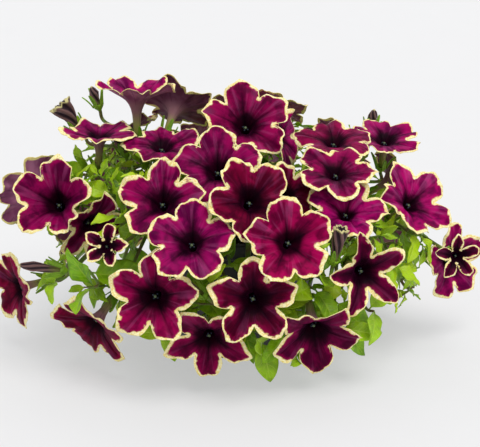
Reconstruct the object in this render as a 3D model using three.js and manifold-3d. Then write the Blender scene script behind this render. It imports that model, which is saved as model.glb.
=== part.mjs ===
// A potted trailing petunia in full flower: a thin plastic pot filled with potting soil, leafy stems that stand
// in the soil and spill over the rim, and a funnel-shaped five-lobed bloom seated in each calyx.
// Millimetres, +Z up. The origin is the centre of the pot's flat underside, and -Y is the front.
import * as THREE from 'three';
import { mergeVertices } from 'three/addons/utils/BufferGeometryUtils.js';
import Module from 'manifold-3d';

const wasm = await Module();
wasm.setup();
const { Manifold } = wasm;

// Driving dimensions of the pot and its soil
const POT_HEIGHT = 92;
const POT_RIM_RADIUS = 60;
const POT_FOOT_RADIUS = 43;
const POT_WALL = 1.6;
const RIM_BAND_HEIGHT = 12;
const RIM_STEP = 1.4;
const POT_SIDES = 24;
const DRAIN_HOLES = 5;
const DRAIN_RADIUS = 4;
const DRAIN_CIRCLE_RADIUS = 26;
const SOIL_BELOW_RIM = 9;
const SEAT_GAP = 0.3;

// Driving dimensions of the plant
const ROOT_DEPTH = 14;
const STEM_RADIUS = 2.3;
const STEM_TIP_RADIUS = 1.5;
const PEDICEL_RADIUS = 1.25;
const SHOOT_TIP_RADIUS = 0.9;
const SHOOT_TIP = 0.6;
const LEAF_SPACING = 31;
const LEAFY_SHARE = 0.5;
const LONGEST_LEAF = 40;
const SHORTEST_LEAF = 24;
const LEAF_THICKNESS = 0.8;
const LEAF_CLEARANCE = 0.9;
const OWN_CLEARANCE = 0.4;
const LOWEST_LEAF = 2;
const PETAL_THICKNESS = 0.75;
const GOLDEN_ANGLE = 137.5;

const rad = THREE.MathUtils.degToRad;
const sinDeg = (a) => Math.sin(rad(a));
const cosDeg = (a) => Math.cos(rad(a));
const lerp = THREE.MathUtils.lerp;
const vec = (x, y, z) => new THREE.Vector3(x, y, z);

function smooth(t) {
  const c = Math.min(1, Math.max(0, t));
  return c * c * (3 - 2 * c);
}

// Seeded draws, so that every build gives the same plant
function drawsFrom(seed) {
  let state = seed >>> 0;
  return (low, high) => {
    state = (Math.imul(state, 1664525) + 1013904223) >>> 0;
    return low + (high - low) * (state / 4294967296);
  };
}

function solidFrom(points, faces) {
  return new Manifold(
    new wasm.Mesh({
      numProp: 3,
      vertProperties: new Float32Array(points.flatMap((p) => [p.x, p.y, p.z])),
      triVerts: new Uint32Array(faces.flat()),
    }),
  );
}

function solidOfGeometry(geometry) {
  const bare = geometry.clone();
  bare.deleteAttribute('normal');
  bare.deleteAttribute('uv');
  const merged = mergeVertices(bare, 1e-4);
  return new Manifold(
    new wasm.Mesh({
      numProp: 3,
      vertProperties: merged.attributes.position.array,
      triVerts: new Uint32Array(merged.index.array),
    }),
  );
}

function meshOfSolid(name, solid, material) {
  const { vertProperties, triVerts } = solid.getMesh();
  const geometry = new THREE.BufferGeometry();
  geometry.setAttribute('position', new THREE.BufferAttribute(vertProperties, 3));
  geometry.setIndex(new THREE.BufferAttribute(triVerts, 1));
  geometry.computeVertexNormals();
  const mesh = new THREE.Mesh(geometry, material);
  mesh.name = name;
  return mesh;
}

// Triangles between two rings of points. Either ring may have twice as many points as the other.
function bandFaces(lower, upper) {
  const faces = [];
  const n = Math.min(lower.length, upper.length);
  for (let i = 0; i < n; i++) {
    const j = (i + 1) % n;
    if (lower.length === upper.length) {
      faces.push([lower[i], lower[j], upper[j]], [lower[i], upper[j], upper[i]]);
    } else if (upper.length > lower.length) {
      const [a, b, c] = [upper[2 * i], upper[2 * i + 1], upper[(2 * i + 2) % upper.length]];
      faces.push([lower[i], b, a], [lower[i], lower[j], b], [lower[j], c, b]);
    } else {
      const [a, b, c] = [lower[2 * i], lower[2 * i + 1], lower[(2 * i + 2) % lower.length]];
      faces.push([a, b, upper[i]], [b, upper[j], upper[i]], [b, c, upper[j]]);
    }
  }
  return faces;
}

function capFaces(ring, flipped) {
  const faces = [];
  for (let i = 1; i + 1 < ring.length; i++) {
    faces.push(flipped ? [ring[0], ring[i + 1], ring[i]] : [ring[0], ring[i], ring[i + 1]]);
  }
  return faces;
}

// Pot: a thin tapered shell with a stepped rim band and drain holes through its flat base
const potMaterial = new THREE.MeshStandardMaterial({ color: 0x2b2c2e, roughness: 0.55, metalness: 0 });
const BAND_FOOT = POT_HEIGHT - RIM_BAND_HEIGHT;

function wallRadiusAt(z) {
  return lerp(POT_FOOT_RADIUS, POT_RIM_RADIUS - RIM_STEP, z / BAND_FOOT);
}

function turnedSolid(profile) {
  const outline = profile.map(([r, z]) => new THREE.Vector2(r, z));
  return solidOfGeometry(new THREE.LatheGeometry(outline, POT_SIDES).rotateX(Math.PI / 2));
}

function uprightDrill(radius, sides, height, x, y, z) {
  return solidOfGeometry(
    new THREE.CylinderGeometry(radius, radius, height, sides).rotateX(Math.PI / 2).translate(x, y, z),
  );
}

function potSolid() {
  let pot = turnedSolid([
    [0, 0],
    [POT_FOOT_RADIUS - 1, 0],
    [wallRadiusAt(1.2), 1.2],
    [wallRadiusAt(BAND_FOOT), BAND_FOOT],
    [POT_RIM_RADIUS, BAND_FOOT + 0.6],
    [POT_RIM_RADIUS + 0.8, POT_HEIGHT - 1],
    [POT_RIM_RADIUS, POT_HEIGHT],
    [POT_RIM_RADIUS - POT_WALL, POT_HEIGHT],
    [wallRadiusAt(BAND_FOOT) - POT_WALL, BAND_FOOT - 0.5],
    [wallRadiusAt(POT_WALL) - POT_WALL, POT_WALL],
    [0, POT_WALL],
  ]);
  for (let i = 0; i < DRAIN_HOLES; i++) {
    const turn = (360 / DRAIN_HOLES) * i;
    const [x, y] = [DRAIN_CIRCLE_RADIUS * sinDeg(turn), DRAIN_CIRCLE_RADIUS * cosDeg(turn)];
    pot = pot.subtract(uprightDrill(DRAIN_RADIUS, 8, 4 * POT_WALL, x, y, 0));
  }
  return pot;
}

// Soil: fills the pot to just under its rim, with a plain hole for each stem
const soilMaterial = new THREE.MeshStandardMaterial({ color: 0x2e2119, roughness: 0.95, metalness: 0 });
const SOIL_TOP = POT_HEIGHT - SOIL_BELOW_RIM;
const HOLE_RADIUS = STEM_RADIUS + 0.7;

function soilSolid(holes) {
  const innerRadius = (z) => wallRadiusAt(z) - POT_WALL - SEAT_GAP;
  let soil = turnedSolid([
    [0, POT_WALL + SEAT_GAP],
    [innerRadius(POT_WALL), POT_WALL + SEAT_GAP],
    [innerRadius(BAND_FOOT - 3), BAND_FOOT - 3],
    [innerRadius(BAND_FOOT - 3), SOIL_TOP - 1],
    [innerRadius(BAND_FOOT - 3) - 6, SOIL_TOP],
    [0, SOIL_TOP],
  ]);
  for (const hole of holes) {
    soil = soil.subtract(uprightDrill(HOLE_RADIUS, 6, 2 * ROOT_DEPTH, hole.x, hole.y, SOIL_TOP));
  }
  return soil;
}

// Blooms. Each is a tube that flares into a limb of five fused lobes. A column is one line from the tube's foot
// to the rim, followed by its slope to the bloom's axis, so a lobe that bends keeps its length.
const LOBES = 5;
const LOBE_TURN = 360 / LOBES;
const HALF_LOBE = LOBE_TURN / 2;
const COLUMN_STEPS = 40;
const COLUMN_REACH = 1.06;
const TUBE_FOOT_SHARE = 0.025;
const MOUTH_SHARE = 0.6;
const DEEP_SHARE = 0.34;
const THROAT_SHARE = 0.56;
const RIM_ROLL = 28;
const LOBE_LIFT = 19;
const RUFFLE = 12;
const petalMaterial = new THREE.MeshStandardMaterial({ color: 0x7a0f52, roughness: 0.6, metalness: 0 });

// Facing: azimuth 0 is the front and 90 the right, and elevation is above the horizon. Roll turns the first lobe
// clockwise from straight up, as seen from in front of the bloom.
function axesOf(azimuth, elevation, roll) {
  const facing = vec(sinDeg(azimuth) * cosDeg(elevation), -cosDeg(azimuth) * cosDeg(elevation), sinDeg(elevation));
  const side = vec(cosDeg(azimuth), sinDeg(azimuth), 0);
  const upward = facing.clone().cross(side);
  const along = upward.clone().multiplyScalar(cosDeg(roll)).addScaledVector(side, sinDeg(roll));
  const across = side.clone().multiplyScalar(cosDeg(roll)).addScaledVector(upward, -sinDeg(roll));
  return { facing, along, across };
}

// One column of a bloom of length 1: [radius, height, slope] at a share of the way to the rim
function columnPoint(bloom, turn, share) {
  const lobe = Math.floor((turn + HALF_LOBE) / LOBE_TURN);
  const off = turn - LOBE_TURN * lobe;
  const f = Math.abs(off) / HALF_LOBE;
  const own = bloom.lifts[lobe % LOBES];
  const next = bloom.lifts[(lobe + (off > 0 ? 1 : LOBES - 1)) % LOBES];
  const lift = lerp(own, next, 0.5 * smooth((f - 0.2) / 0.8));
  const cut = lerp(f ** 3.4, f ** 1.5, bloom.point) * bloom.notch + 0.05 * smooth((f - 0.78) / 0.22);
  const rim = 1 - cut + bloom.tips[lobe % LOBES] * Math.max(0, 1 - f / 0.35);
  const ripple = Math.sin(5 * rad(turn) + bloom.phases[0]) + 0.7 * Math.sin(8 * rad(turn) + bloom.phases[1]);
  const end = share <= THROAT_SHARE ? share : lerp(THROAT_SHARE, rim, (share - THROAT_SHARE) / (1 - THROAT_SHARE));
  const step = COLUMN_REACH / COLUMN_STEPS;
  let [radius, height, slope] = [TUBE_FOOT_SHARE, 0, 4];
  for (let q = step / 2; q < end + step / 2; q += step) {
    const limb = Math.max(0, (q - 0.58) / 0.42);
    slope = 4 + (84 - bloom.cup) * smooth((q - 0.2) / 0.52) ** 1.2 - lift * limb;
    slope += limb ** 2 * (16 * smooth(f) + bloom.ruffle * ripple) + RIM_ROLL * smooth((q - 0.78) / 0.28);
    const stride = Math.min(step, end - (q - step / 2));
    radius += sinDeg(slope) * stride;
    height += cosDeg(slope) * stride;
  }
  return [radius, height, slope];
}

function bloomFrom([x, y, z, azimuth, elevation, roll, across, cup, point], seed) {
  const draw = drawsFrom(seed * 7919 + 13);
  const bloom = {
    cup,
    point,
    notch: across < 40 ? 0.36 : lerp(0.08, 0.24, point),
    ruffle: across < 40 ? 4 : RUFFLE,
    lifts: Array.from({ length: LOBES }, () => draw(-LOBE_LIFT, LOBE_LIFT)),
    phases: [draw(0, 2 * Math.PI), draw(0, 2 * Math.PI)],
    tips: Array.from({ length: LOBES }, () => draw(0.01, 0.06)),
    ...axesOf(azimuth, elevation, roll),
  };
  const reaches = bloom.lifts.map((_, lobe) => columnPoint(bloom, LOBE_TURN * lobe, 1)[0]);
  bloom.length = across / 2 / Math.max(...reaches);
  bloom.foot = vec(x, y, z).addScaledVector(bloom.facing, -MOUTH_SHARE * bloom.length);
  return bloom;
}

const TIP_TURNS = Array.from({ length: LOBES }, (_, k) => LOBE_TURN * k);
const EVEN_TURNS = TIP_TURNS.flatMap((turn) => [turn, turn + HALF_LOBE]);
const ALL_TURNS = TIP_TURNS.flatMap((turn) => [turn, turn + 20, turn + HALF_LOBE, turn + LOBE_TURN - 20]);

function pointOn({ foot, along, across, facing }, radius, turn, height) {
  return foot
    .clone()
    .addScaledVector(along, radius * cosDeg(turn))
    .addScaledVector(across, radius * sinDeg(turn))
    .addScaledVector(facing, height);
}

function bloomSolid(bloom) {
  const points = [];
  const addRing = (turns, share, depth) =>
    turns.map((turn) => {
      const [radius, height, slope] = columnPoint(bloom, turn, share);
      const outward = radius * bloom.length + depth * cosDeg(slope);
      points.push(pointOn(bloom, outward, turn, height * bloom.length - depth * sinDeg(slope)));
      return points.length - 1;
    });
  const rings = [
    addRing(TIP_TURNS, THROAT_SHARE, 0),
    addRing(EVEN_TURNS, 0.78, 0),
    addRing(ALL_TURNS, 1, 0),
    addRing(ALL_TURNS, 1, PETAL_THICKNESS),
    addRing(EVEN_TURNS, 0.78, PETAL_THICKNESS),
    addRing(TIP_TURNS, THROAT_SHARE, PETAL_THICKNESS),
    addRing(TIP_TURNS, 0.32, PETAL_THICKNESS),
    addRing(TIP_TURNS, 0, PETAL_THICKNESS),
  ];
  return closedSolid(points, rings, points.push(pointOn(bloom, 0, 0, DEEP_SHARE * bloom.length)) - 1);
}

// Stems and stalks follow a smooth line through a few points
function lineThrough(points, stepsPerSpan) {
  const curve = new THREE.CatmullRomCurve3(points, false, 'catmullrom', 0.5);
  return curve.getPoints((points.length - 1) * stepsPerSpan);
}

function directionAt(line, i) {
  return line[Math.min(i + 1, line.length - 1)].clone().sub(line[Math.max(i - 1, 0)]).normalize();
}

// Rings of points down a line, from its end back to its start
function ringsAlong(points, line, sides, startRadius, endRadius, spoke) {
  return line
    .map((centre, i) => [centre, directionAt(line, i), lerp(startRadius, endRadius, i / (line.length - 1))])
    .reverse()
    .map(([centre, along, radius]) => {
      spoke.addScaledVector(along, -spoke.dot(along)).normalize();
      const other = spoke.clone().cross(along);
      return Array.from({ length: sides }, (_, k) => {
        const turn = (360 / sides) * k;
        const at = centre.clone().addScaledVector(spoke, radius * cosDeg(turn));
        return points.push(at.addScaledVector(other, radius * sinDeg(turn))) - 1;
      });
    });
}

function closedSolid(points, rings, tip) {
  const first = rings[0];
  const faces = first.map((at, i) => [tip, first[(i + 1) % first.length], at]);
  for (let i = 0; i + 1 < rings.length; i++) faces.push(...bandFaces(rings[i], rings[i + 1]));
  faces.push(...capFaces(rings.at(-1), false));
  return solidFrom(points, faces);
}

function shootSolid(line) {
  const points = [];
  const rings = ringsAlong(points, line, 4, PEDICEL_RADIUS, SHOOT_TIP_RADIUS, vec(0.31, 0.87, 0.38));
  const tip = points.push(line.at(-1).clone().addScaledVector(directionAt(line, line.length - 1), SHOOT_TIP)) - 1;
  return closedSolid(points, rings, tip);
}

// Calyx: a cup of five pointed sepals on the end of its stalk, which holds the tube's foot. A bud grows from the
// middle of its calyx: a folded limb, five-sided and slightly twisted, and a flare above 0 opens its tip.
const SEPAL_REACH = 8;
const SEPAL_RISE = 9.5;
const SEPAL_THICKNESS = 0.7;
const CALYX_RADIUS = 3.2;
const CALYX_DROP = 3;
const STALK_END_DROP = 4.5;
const BUD_TWIST = 14;
const BUD_SINK = 1.5;
const plantMaterial = new THREE.MeshStandardMaterial({ color: 0x5f8a2a, roughness: 0.7, metalness: 0 });

function calyxRing(points, seat, depth) {
  return EVEN_TURNS.map((turn, k) => {
    const [radius, height] = k % 2 === 1 ? [SEPAL_REACH, SEPAL_RISE] : [CALYX_RADIUS, -0.6];
    return points.push(pointOn(seat, radius + depth, turn, height - depth)) - 1;
  });
}

function budRings(points, seat) {
  const { length, flare } = seat;
  const shape = [
    [0.9, 1.9 + 2.4 * flare],
    [0.68, 3.1 + flare],
    [0.3, 2.2],
    [0, 1.4],
  ];
  return shape.map(([share, radius], k) => {
    const twist = BUD_TWIST * (shape.length - 1 - k);
    return TIP_TURNS.map((turn) => points.push(pointOn(seat, radius, turn + twist, share * length - BUD_SINK)) - 1);
  });
}

// A stalk with its calyx, and with its bud where it bears one
function stalkSolid(line, startRadius, endRadius, seat) {
  const points = [];
  const bud = seat.length && seat.flare !== undefined ? budRings(points, seat) : [];
  const tipHeight = bud.length ? seat.length * (seat.flare > 0 ? 0.6 : 0.96) : -CALYX_DROP;
  const rings = [
    ...bud,
    calyxRing(points, seat, 0),
    calyxRing(points, seat, SEPAL_THICKNESS),
    ...ringsAlong(points, line, LOBES, startRadius, endRadius, seat.along.clone()),
  ];
  const tip = points.push(pointOn(seat, 0, 0, tipHeight)) - 1;
  return closedSolid(points, rings, tip);
}

// The main axis of a leafy stem: up out of its hole, over the pot's rim, and out to its first calyx
const NECK_LENGTH = 8;
const MAIN_NECK_LENGTH = 11;
const KNEE_HEIGHT = 13;
const RIM_CLEARANCE = 7;
const CREST_HEIGHT = 10;
const LOW_NECK_RISE = 12;

function mainLine(root, seat) {
  const end = pointOn(seat, 0, 0, -STALK_END_DROP);
  const neck = pointOn(seat, 0, 0, -STALK_END_DROP - MAIN_NECK_LENGTH);
  const low = neck.z < POT_HEIGHT + LOW_NECK_RISE;
  const knee = root.clone().lerp(neck, 0.05).setZ(SOIL_TOP + KNEE_HEIGHT);
  const run = Math.hypot(neck.x - root.x, neck.y - root.y);
  const spread = (POT_RIM_RADIUS + RIM_CLEARANCE - Math.hypot(root.x, root.y)) / run;
  const crest = root.clone().lerp(neck, low ? Math.min(0.8, spread) : 0.5);
  crest.z = Math.max(lerp(SOIL_TOP, neck.z, 0.72), POT_HEIGHT + CREST_HEIGHT);
  const foot = root.clone().setZ(SOIL_TOP - ROOT_DEPTH + SEAT_GAP);
  return [foot, ...lineThrough([root.clone().setZ(SOIL_TOP), knee, crest, neck, end], 2)];
}

// A side stalk leaves the main axis a little before the point that is nearest to its end
function sideLine(main, end, facing) {
  const gaps = main.map((p) => p.distanceTo(end));
  const nearest = gaps.indexOf(Math.min(...gaps.slice(3)));
  const start = main[Math.max(3, nearest - 2)];
  const neck = end.clone().addScaledVector(facing, -NECK_LENGTH);
  const middle = start.clone().lerp(neck, 0.5);
  middle.z += 0.12 * start.distanceTo(neck);
  return lineThrough([start, middle, neck, end], 1);
}

// Leaf: an arched blade with waved edges, folded a little along its midrib. Each row is its share of the length
// and its points across, from -1 at one edge to 1 at the other.
const LEAF_ROWS = [
  [0, [-1, 1]],
  [0.12, [-1, 1]],
  [0.36, [-1, 0, 1]],
  [0.68, [-1, 0, 1]],
  [0.96, [-1, 1]],
];
const BLADE_ROW = 1;
const LEAFSTALK_SHARE = 0.1;
const LEAFSTALK_HALF_WIDTH = 0.6;

function bladeWidth(t) {
  const along = Math.max(0, (t - LEAFSTALK_SHARE) / (1 - LEAFSTALK_SHARE));
  return Math.sin(Math.PI * along ** 0.8) ** 0.8;
}

function leafFrom(origin, along, normal, length, draw) {
  return {
    origin,
    along,
    normal,
    side: along.clone().cross(normal),
    length,
    halfWidth: length * draw(0.25, 0.31),
    droop: draw(0.12, 0.4),
    waves: [draw(0, 2 * Math.PI), draw(0, 2 * Math.PI)],
  };
}

// A point of the blade: t runs from root to tip, s from -1 at one edge to 1 at the other
function leafPoint(leaf, t, s, depth) {
  const width = Math.max(LEAFSTALK_HALF_WIDTH, leaf.halfWidth * bladeWidth(t));
  const wave = 0.3 * Math.sin(9 * t + leaf.waves[s > 0 ? 1 : 0]);
  const rise = -leaf.droop * leaf.length * t * t + Math.abs(s) * width * (0.28 + wave);
  const lean = 2 * leaf.droop * t;
  return leaf.origin
    .clone()
    .addScaledVector(leaf.along, t * leaf.length - (depth * lean) / Math.hypot(1, lean))
    .addScaledVector(leaf.normal, rise - depth / Math.hypot(1, lean))
    .addScaledVector(leaf.side, s * width);
}

function rowFaces(lower, upper) {
  const [a, b] = [lower, upper];
  const last = b.at(-1);
  const faces = [[a[0], a[1], b[a.length < 3 ? 1 : 0]]];
  if (b.length === a.length && a.length < 3) return [...faces, [a[0], b[1], b[0]]];
  if (a.length < 3) return [...faces, [a[0], b[1], b[0]], [a[1], b[2], b[1]]];
  if (b.length < 3) return [...faces, [a[1], b[1], b[0]], [a[1], a[2], last]];
  return [[a[0], a[1], b[1]], [a[0], b[1], b[0]], [a[1], a[2], last], [a[1], last, b[1]]];
}

function leafSolid(leaf, firstRow) {
  const points = [];
  const addRows = (depth) =>
    LEAF_ROWS.slice(firstRow).map(([t, places]) => places.map((s) => points.push(leafPoint(leaf, t, s, depth)) - 1));
  const rows = addRows(0);
  const count = points.length;
  addRows(LEAF_THICKNESS);
  const upper = rows.slice(1).flatMap((row, r) => rowFaces(rows[r], row));
  const under = upper.map(([a, b, c]) => [a + count, c + count, b + count]);
  const edge = [...rows.map((row) => row.at(-1)), ...rows.map((row) => row[0]).reverse()];
  const walls = edge.flatMap((p, i) => {
    const q = edge[(i + 1) % edge.length];
    return [
      [q, p, p + count],
      [q, p + count, q + count],
    ];
  });
  return solidFrom(points, [...upper, ...under, ...walls]);
}

// Where leaves stand on a line: share of the way along, and the leaf's length
function leafPlaces(line, kind, longest) {
  const total = line.reduce((sum, p, i) => sum + (i ? p.distanceTo(line[i - 1]) : 0), 0);
  if (kind === 'stalk') return total > 30 ? [[0.2, SHORTEST_LEAF + 4]] : [];
  if (kind === 'shoot') {
    return [
      [0.5, longest],
      [0.8, 0.85 * longest],
      [1, 0.75 * longest],
    ];
  }
  const count = Math.max(1, Math.floor((LEAFY_SHARE * total) / LEAF_SPACING));
  const shares = Array.from({ length: count + 1 }, (_, i) => i / count);
  return shares.map((t) => [lerp(0.42, 0.92, t), lerp(longest, SHORTEST_LEAF, t)]);
}

function pointAlong(line, share) {
  const at = Math.min(share * (line.length - 1), line.length - 1.001);
  const i = Math.floor(at);
  return [line[i].clone().lerp(line[i + 1], at - i), line[i + 1].clone().sub(line[i]).normalize()];
}

// The ways in which one leaf may stand, in the order in which they are tried
const LEAF_TRIES = [0, 45, -45, 90, -90, 135, -135, 180];

function leafChoices(line, share, length, number, seed) {
  const [origin, stemward] = pointAlong(line, share);
  const outward = origin.clone().sub(vec(0, 0, 0.75 * POT_HEIGHT)).normalize();
  const skyward = outward.clone().add(vec(0, 0, 0.6)).normalize();
  const first = outward.clone().addScaledVector(stemward, -outward.dot(stemward)).normalize();
  const second = stemward.clone().cross(first);
  const choices = [];
  for (const size of [1, 0.75]) {
    for (const shift of LEAF_TRIES) {
      const draw = drawsFrom(seed * 104729 + number * 31 + 7);
      const turn = GOLDEN_ANGLE * number + shift + draw(-15, 15);
      const tilt = share >= 1 ? draw(25, 50) : draw(48, 75);
      const along = stemward
        .clone()
        .multiplyScalar(cosDeg(tilt))
        .addScaledVector(first, sinDeg(tilt) * cosDeg(turn))
        .addScaledVector(second, sinDeg(tilt) * sinDeg(turn));
      const normal = skyward.clone().addScaledVector(along, -skyward.dot(along)).normalize();
      choices.push(leafFrom(origin, along, normal, length * size, draw));
    }
  }
  return choices;
}

// The leafy stems. A bloom is [x, y, z of its mouth, azimuth, elevation, roll, across, cup, point], and the first
// bloom of a stem ends its main axis. A bud is [x, y, z of its foot, azimuth, elevation, length, flare].
// A shoot is [x, y, z of its tip, longest leaf].
const LEAFY_STEMS = [
  {
    name: 'front_left',
    root: [-7, -24],
    blooms: [
      [-57, -120, 77, -12, 13, 4, 66, 14, 0.8],
      [-32, -118, 116, -8, 45, 0, 61, 14, 0.3],
      [-21, -113, 43, -4, -15, 38, 62, 16, 1],
    ],
    buds: [[-25, -111, 76, -80, 40, 28, 0]],
    shoots: [
      [-50, -98, 44, 26],
      [-18, -92, 62, 32],
      [-8, -86, 86, 28],
      [2, -90, 46, 34],
    ],
  },
  {
    name: 'front_right',
    root: [8, -25],
    blooms: [
      [9, -128, 78, 5, 10, 0, 64, 16, 0.9],
      [32, -122, 117, 8, 30, -6, 61, 14, 0.35],
      [50, -110, 47, 10, -28, 30, 67, 22, 0.8],
    ],
    buds: [],
    shoots: [
      [15, -103, 38, 36],
      [30, -97, 42, 34],
      [38, -96, 26, 26],
      [24, -86, 62, 32],
    ],
  },
  {
    name: 'front_crown',
    root: [-2, -13],
    blooms: [
      [8, -101, 138, 20, 38, -20, 62, 16, 0.3],
      [-15, -56, 145, 0, 50, 0, 64, 14, 0.4],
      [32, -54, 124, 30, 25, 0, 48, 10, 0.3],
    ],
    buds: [],
    shoots: [],
  },
  {
    name: 'left_crown',
    root: [-14, -15],
    blooms: [
      [-52, -82, 131, -8, 45, 0, 63, 14, 0.6],
      [-88, -104, 107, -10, 25, 10, 32, 20, 0.4],
      [-53, -25, 153, 10, 80, 0, 58, 6, 0.4],
    ],
    buds: [],
    shoots: [[-80, -70, 109, 28]],
  },
  {
    name: 'left_low',
    root: [-25, 1.5],
    blooms: [
      [-157, -30, 47, -60, -5, 0, 58, 14, 0.4],
      [-101, -76, 37, -38, -32, 0, 64, 16, 0.6],
    ],
    buds: [[-120, -75, 79, -90, 8, 30, 0]],
    shoots: [
      [-101, -85, 70, 40],
      [-124, -70, 70, 24],
    ],
  },
  {
    name: 'left',
    root: [-26, -12],
    blooms: [
      [-123, -66, 124, -14, 34, 0, 60, 42, 0.3],
      [-100, -46, 99, 34, -14, 20, 54, 16, 0.6],
      [-141, 0, 110, -150, 20, 0, 66, 12, 0.2],
    ],
    buds: [],
    shoots: [
      [-114, -15, 124, 28],
      [-92, -40, 117, 26],
      [-80, -58, 110, 30],
    ],
  },
  {
    name: 'left_top',
    root: [-14, 2],
    blooms: [
      [-72, 22, 173, 180, 84, 0, 60, 28, 0.6],
      [-97, -7, 155, 180, 87, 0, 58, 8, 0.4],
      [-45, 60, 154, 160, 35, 0, 60, 10, 0.5],
    ],
    buds: [
      [-112, 29, 144, -100, 52, 26, 2],
      [-101, 52, 156, -90, 72, 15, 0],
      [-80, 7, 135, -90, 75, 13, 1],
    ],
    shoots: [],
  },
  {
    name: 'crown',
    root: [2, 2],
    blooms: [
      [4, -11, 163, 4, 52, -6, 66, 20, 0.4],
      [32, 20, 143, 75, 15, 0, 54, 12, 0.4],
      [3, 46, 160, 180, 70, 0, 50, 12, 0.3],
    ],
    buds: [],
    shoots: [],
  },
  {
    name: 'right_front',
    root: [20, -18],
    blooms: [
      [83, -95, 84, 22, 5, -10, 63, 24, 1.3],
      [71, -65, 119, 5, 62, 20, 60, 8, 0.5],
    ],
    buds: [[62, -100, 96, 60, 78, 26, 1]],
    shoots: [
      [90, -82, 52, 34],
      [50, -90, 71, 34],
      [70, -78, 74, 26],
      [68, -92, 44, 34],
    ],
  },
  {
    name: 'right_crown',
    root: [14, -5],
    blooms: [
      [65, -44, 140, 8, 68, 30, 58, 8, 0.4],
      [65, -1, 149, 10, 78, 0, 59, 6, 0.4],
      [102, 26, 141, 20, 76, 0, 56, 8, 0.5],
    ],
    buds: [[94, 65, 134, 60, 80, 16, 0]],
    shoots: [],
  },
  {
    name: 'right',
    root: [27, -3],
    blooms: [
      [120, -21, 109, 44, 40, 0, 64, 16, 0.5],
      [150, -9, 60, 44, 5, 0, 58, 12, 0.6],
      [148, -50, 79, 14, 10, 0, 34, 24, 0.9],
    ],
    buds: [],
    shoots: [
      [121, -30, 49, 34],
      [124, -38, 90, 26],
      [106, -55, 74, 28],
    ],
  },
  {
    name: 'back_right',
    root: [20, 14],
    blooms: [
      [112, 47, 103, 113, 22, 0, 56, 12, 0.4],
      [112, 64, 50, 120, -3, 0, 58, 12, 0.5],
      [72, 94, 112, 142, 30, 0, 58, 12, 0.2],
      [64, 111, 58, 150, 0, 30, 60, 12, 0.6],
    ],
    buds: [],
    shoots: [
      [92, 62, 30, 36],
      [110, 25, 40, 32],
    ],
  },
  {
    name: 'back',
    root: [3, 24],
    blooms: [
      [21, 112, 106, 168, 30, 0, 61, 12, 0.3],
      [-4, 128, 62, 182, 8, 0, 60, 12, 0.5],
      [24, 77, 146, 165, 50, 0, 56, 12, 0.4],
    ],
    buds: [],
    shoots: [[28, 98, 28, 36]],
  },
  {
    name: 'back_left',
    root: [-15, 19],
    blooms: [
      [-91, 89, 96, 226, 20, 0, 60, 12, 0.4],
      [-36, 112, 108, 198, 32, 0, 60, 12, 0.5],
      [-72, 106, 56, 214, -5, 0, 60, 12, 0.5],
      [-118, 58, 62, 243, 10, 0, 60, 12, 0.3],
      [-81, 63, 135, 230, 55, 0, 52, 12, 0.2],
    ],
    buds: [],
    shoots: [
      [-96, 45, 30, 36],
      [-44, 92, 26, 34],
    ],
  },
];

// Each stem's lines, solids without leaves, and blooms
let bloomCount = 0;
const stems = LEAFY_STEMS.map((row) => {
  const blooms = row.blooms.map((values) => bloomFrom(values, ++bloomCount));
  const buds = row.buds.map(([x, y, z, azimuth, elevation, length, flare]) => {
    return { foot: vec(x, y, z), ...axesOf(azimuth, elevation, 0), length, flare };
  });
  const root = vec(row.root[0], row.root[1], SOIL_TOP);
  const main = mainLine(root, blooms[0]);
  const stalkTo = (seat) => sideLine(main, pointOn(seat, 0, 0, -STALK_END_DROP), seat.facing);
  const stalks = [...blooms.slice(1), ...buds].map(stalkTo);
  const shoots = row.shoots.map(([x, y, z]) => sideLine(main, vec(x, y, z), vec(x, y, -20).normalize()));
  const pieces = [
    stalkSolid(main, STEM_RADIUS, STEM_TIP_RADIUS, blooms[0]),
    ...[...blooms.slice(1), ...buds].map((seat, i) => stalkSolid(stalks[i], PEDICEL_RADIUS, PEDICEL_RADIUS, seat)),
    ...shoots.map(shootSolid),
  ];
  const twigs = [
    ...leafPlaces(main, 'main', LONGEST_LEAF).map((place) => [main, ...place]),
    ...stalks.flatMap((line) => leafPlaces(line, 'stalk').map((place) => [line, ...place])),
    ...shoots.flatMap((line, i) => leafPlaces(line, 'shoot', row.shoots[i][3]).map((place) => [line, ...place])),
  ];
  return { name: row.name, root, blooms, bare: Manifold.union(pieces), leaves: [], twigs };
});

// Leaves go where they clear every bloom, every other stem and its leaves, the pot, and the surface below
const pot = potSolid();
const soil = soilSolid(stems.map((stem) => stem.root));
const obstacles = [{ solid: pot }, { solid: soil }];
const bloomSolids = stems.map((stem) => stem.blooms.map(bloomSolid));
bloomSolids.flat().forEach((solid) => obstacles.push({ solid }));
stems.forEach((stem) => obstacles.push({ solid: stem.bare, stem }));

function boxesNear(a, b, gap) {
  return [0, 1, 2].every((k) => a.min[k] < b.max[k] + gap && b.min[k] < a.max[k] + gap);
}

function clears(solid, obstacle, gap) {
  if (!boxesNear(solid.boundingBox(), obstacle.boundingBox(), gap)) return true;
  return solid.minGap(obstacle, 2 * gap) > gap;
}

function fits(leaf, solid, stem) {
  if (solid.boundingBox().min[2] < LOWEST_LEAF) return false;
  if (!clears(leafSolid(leaf, BLADE_ROW), stem.bare, OWN_CLEARANCE)) return false;
  if (!stem.leaves.every((other) => clears(solid, other, OWN_CLEARANCE))) return false;
  return obstacles.every((other) => other.stem === stem || clears(solid, other.solid, LEAF_CLEARANCE));
}

stems.forEach((stem, s) => {
  stem.twigs.forEach(([line, share, length], number) => {
    for (const leaf of leafChoices(line, share, length, number, s + 1)) {
      const solid = leafSolid(leaf, 0);
      if (!fits(leaf, solid, stem)) continue;
      stem.leaves.push(solid);
      break;
    }
  });
  stem.leaves.forEach((solid) => obstacles.push({ solid, stem }));
});

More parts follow.
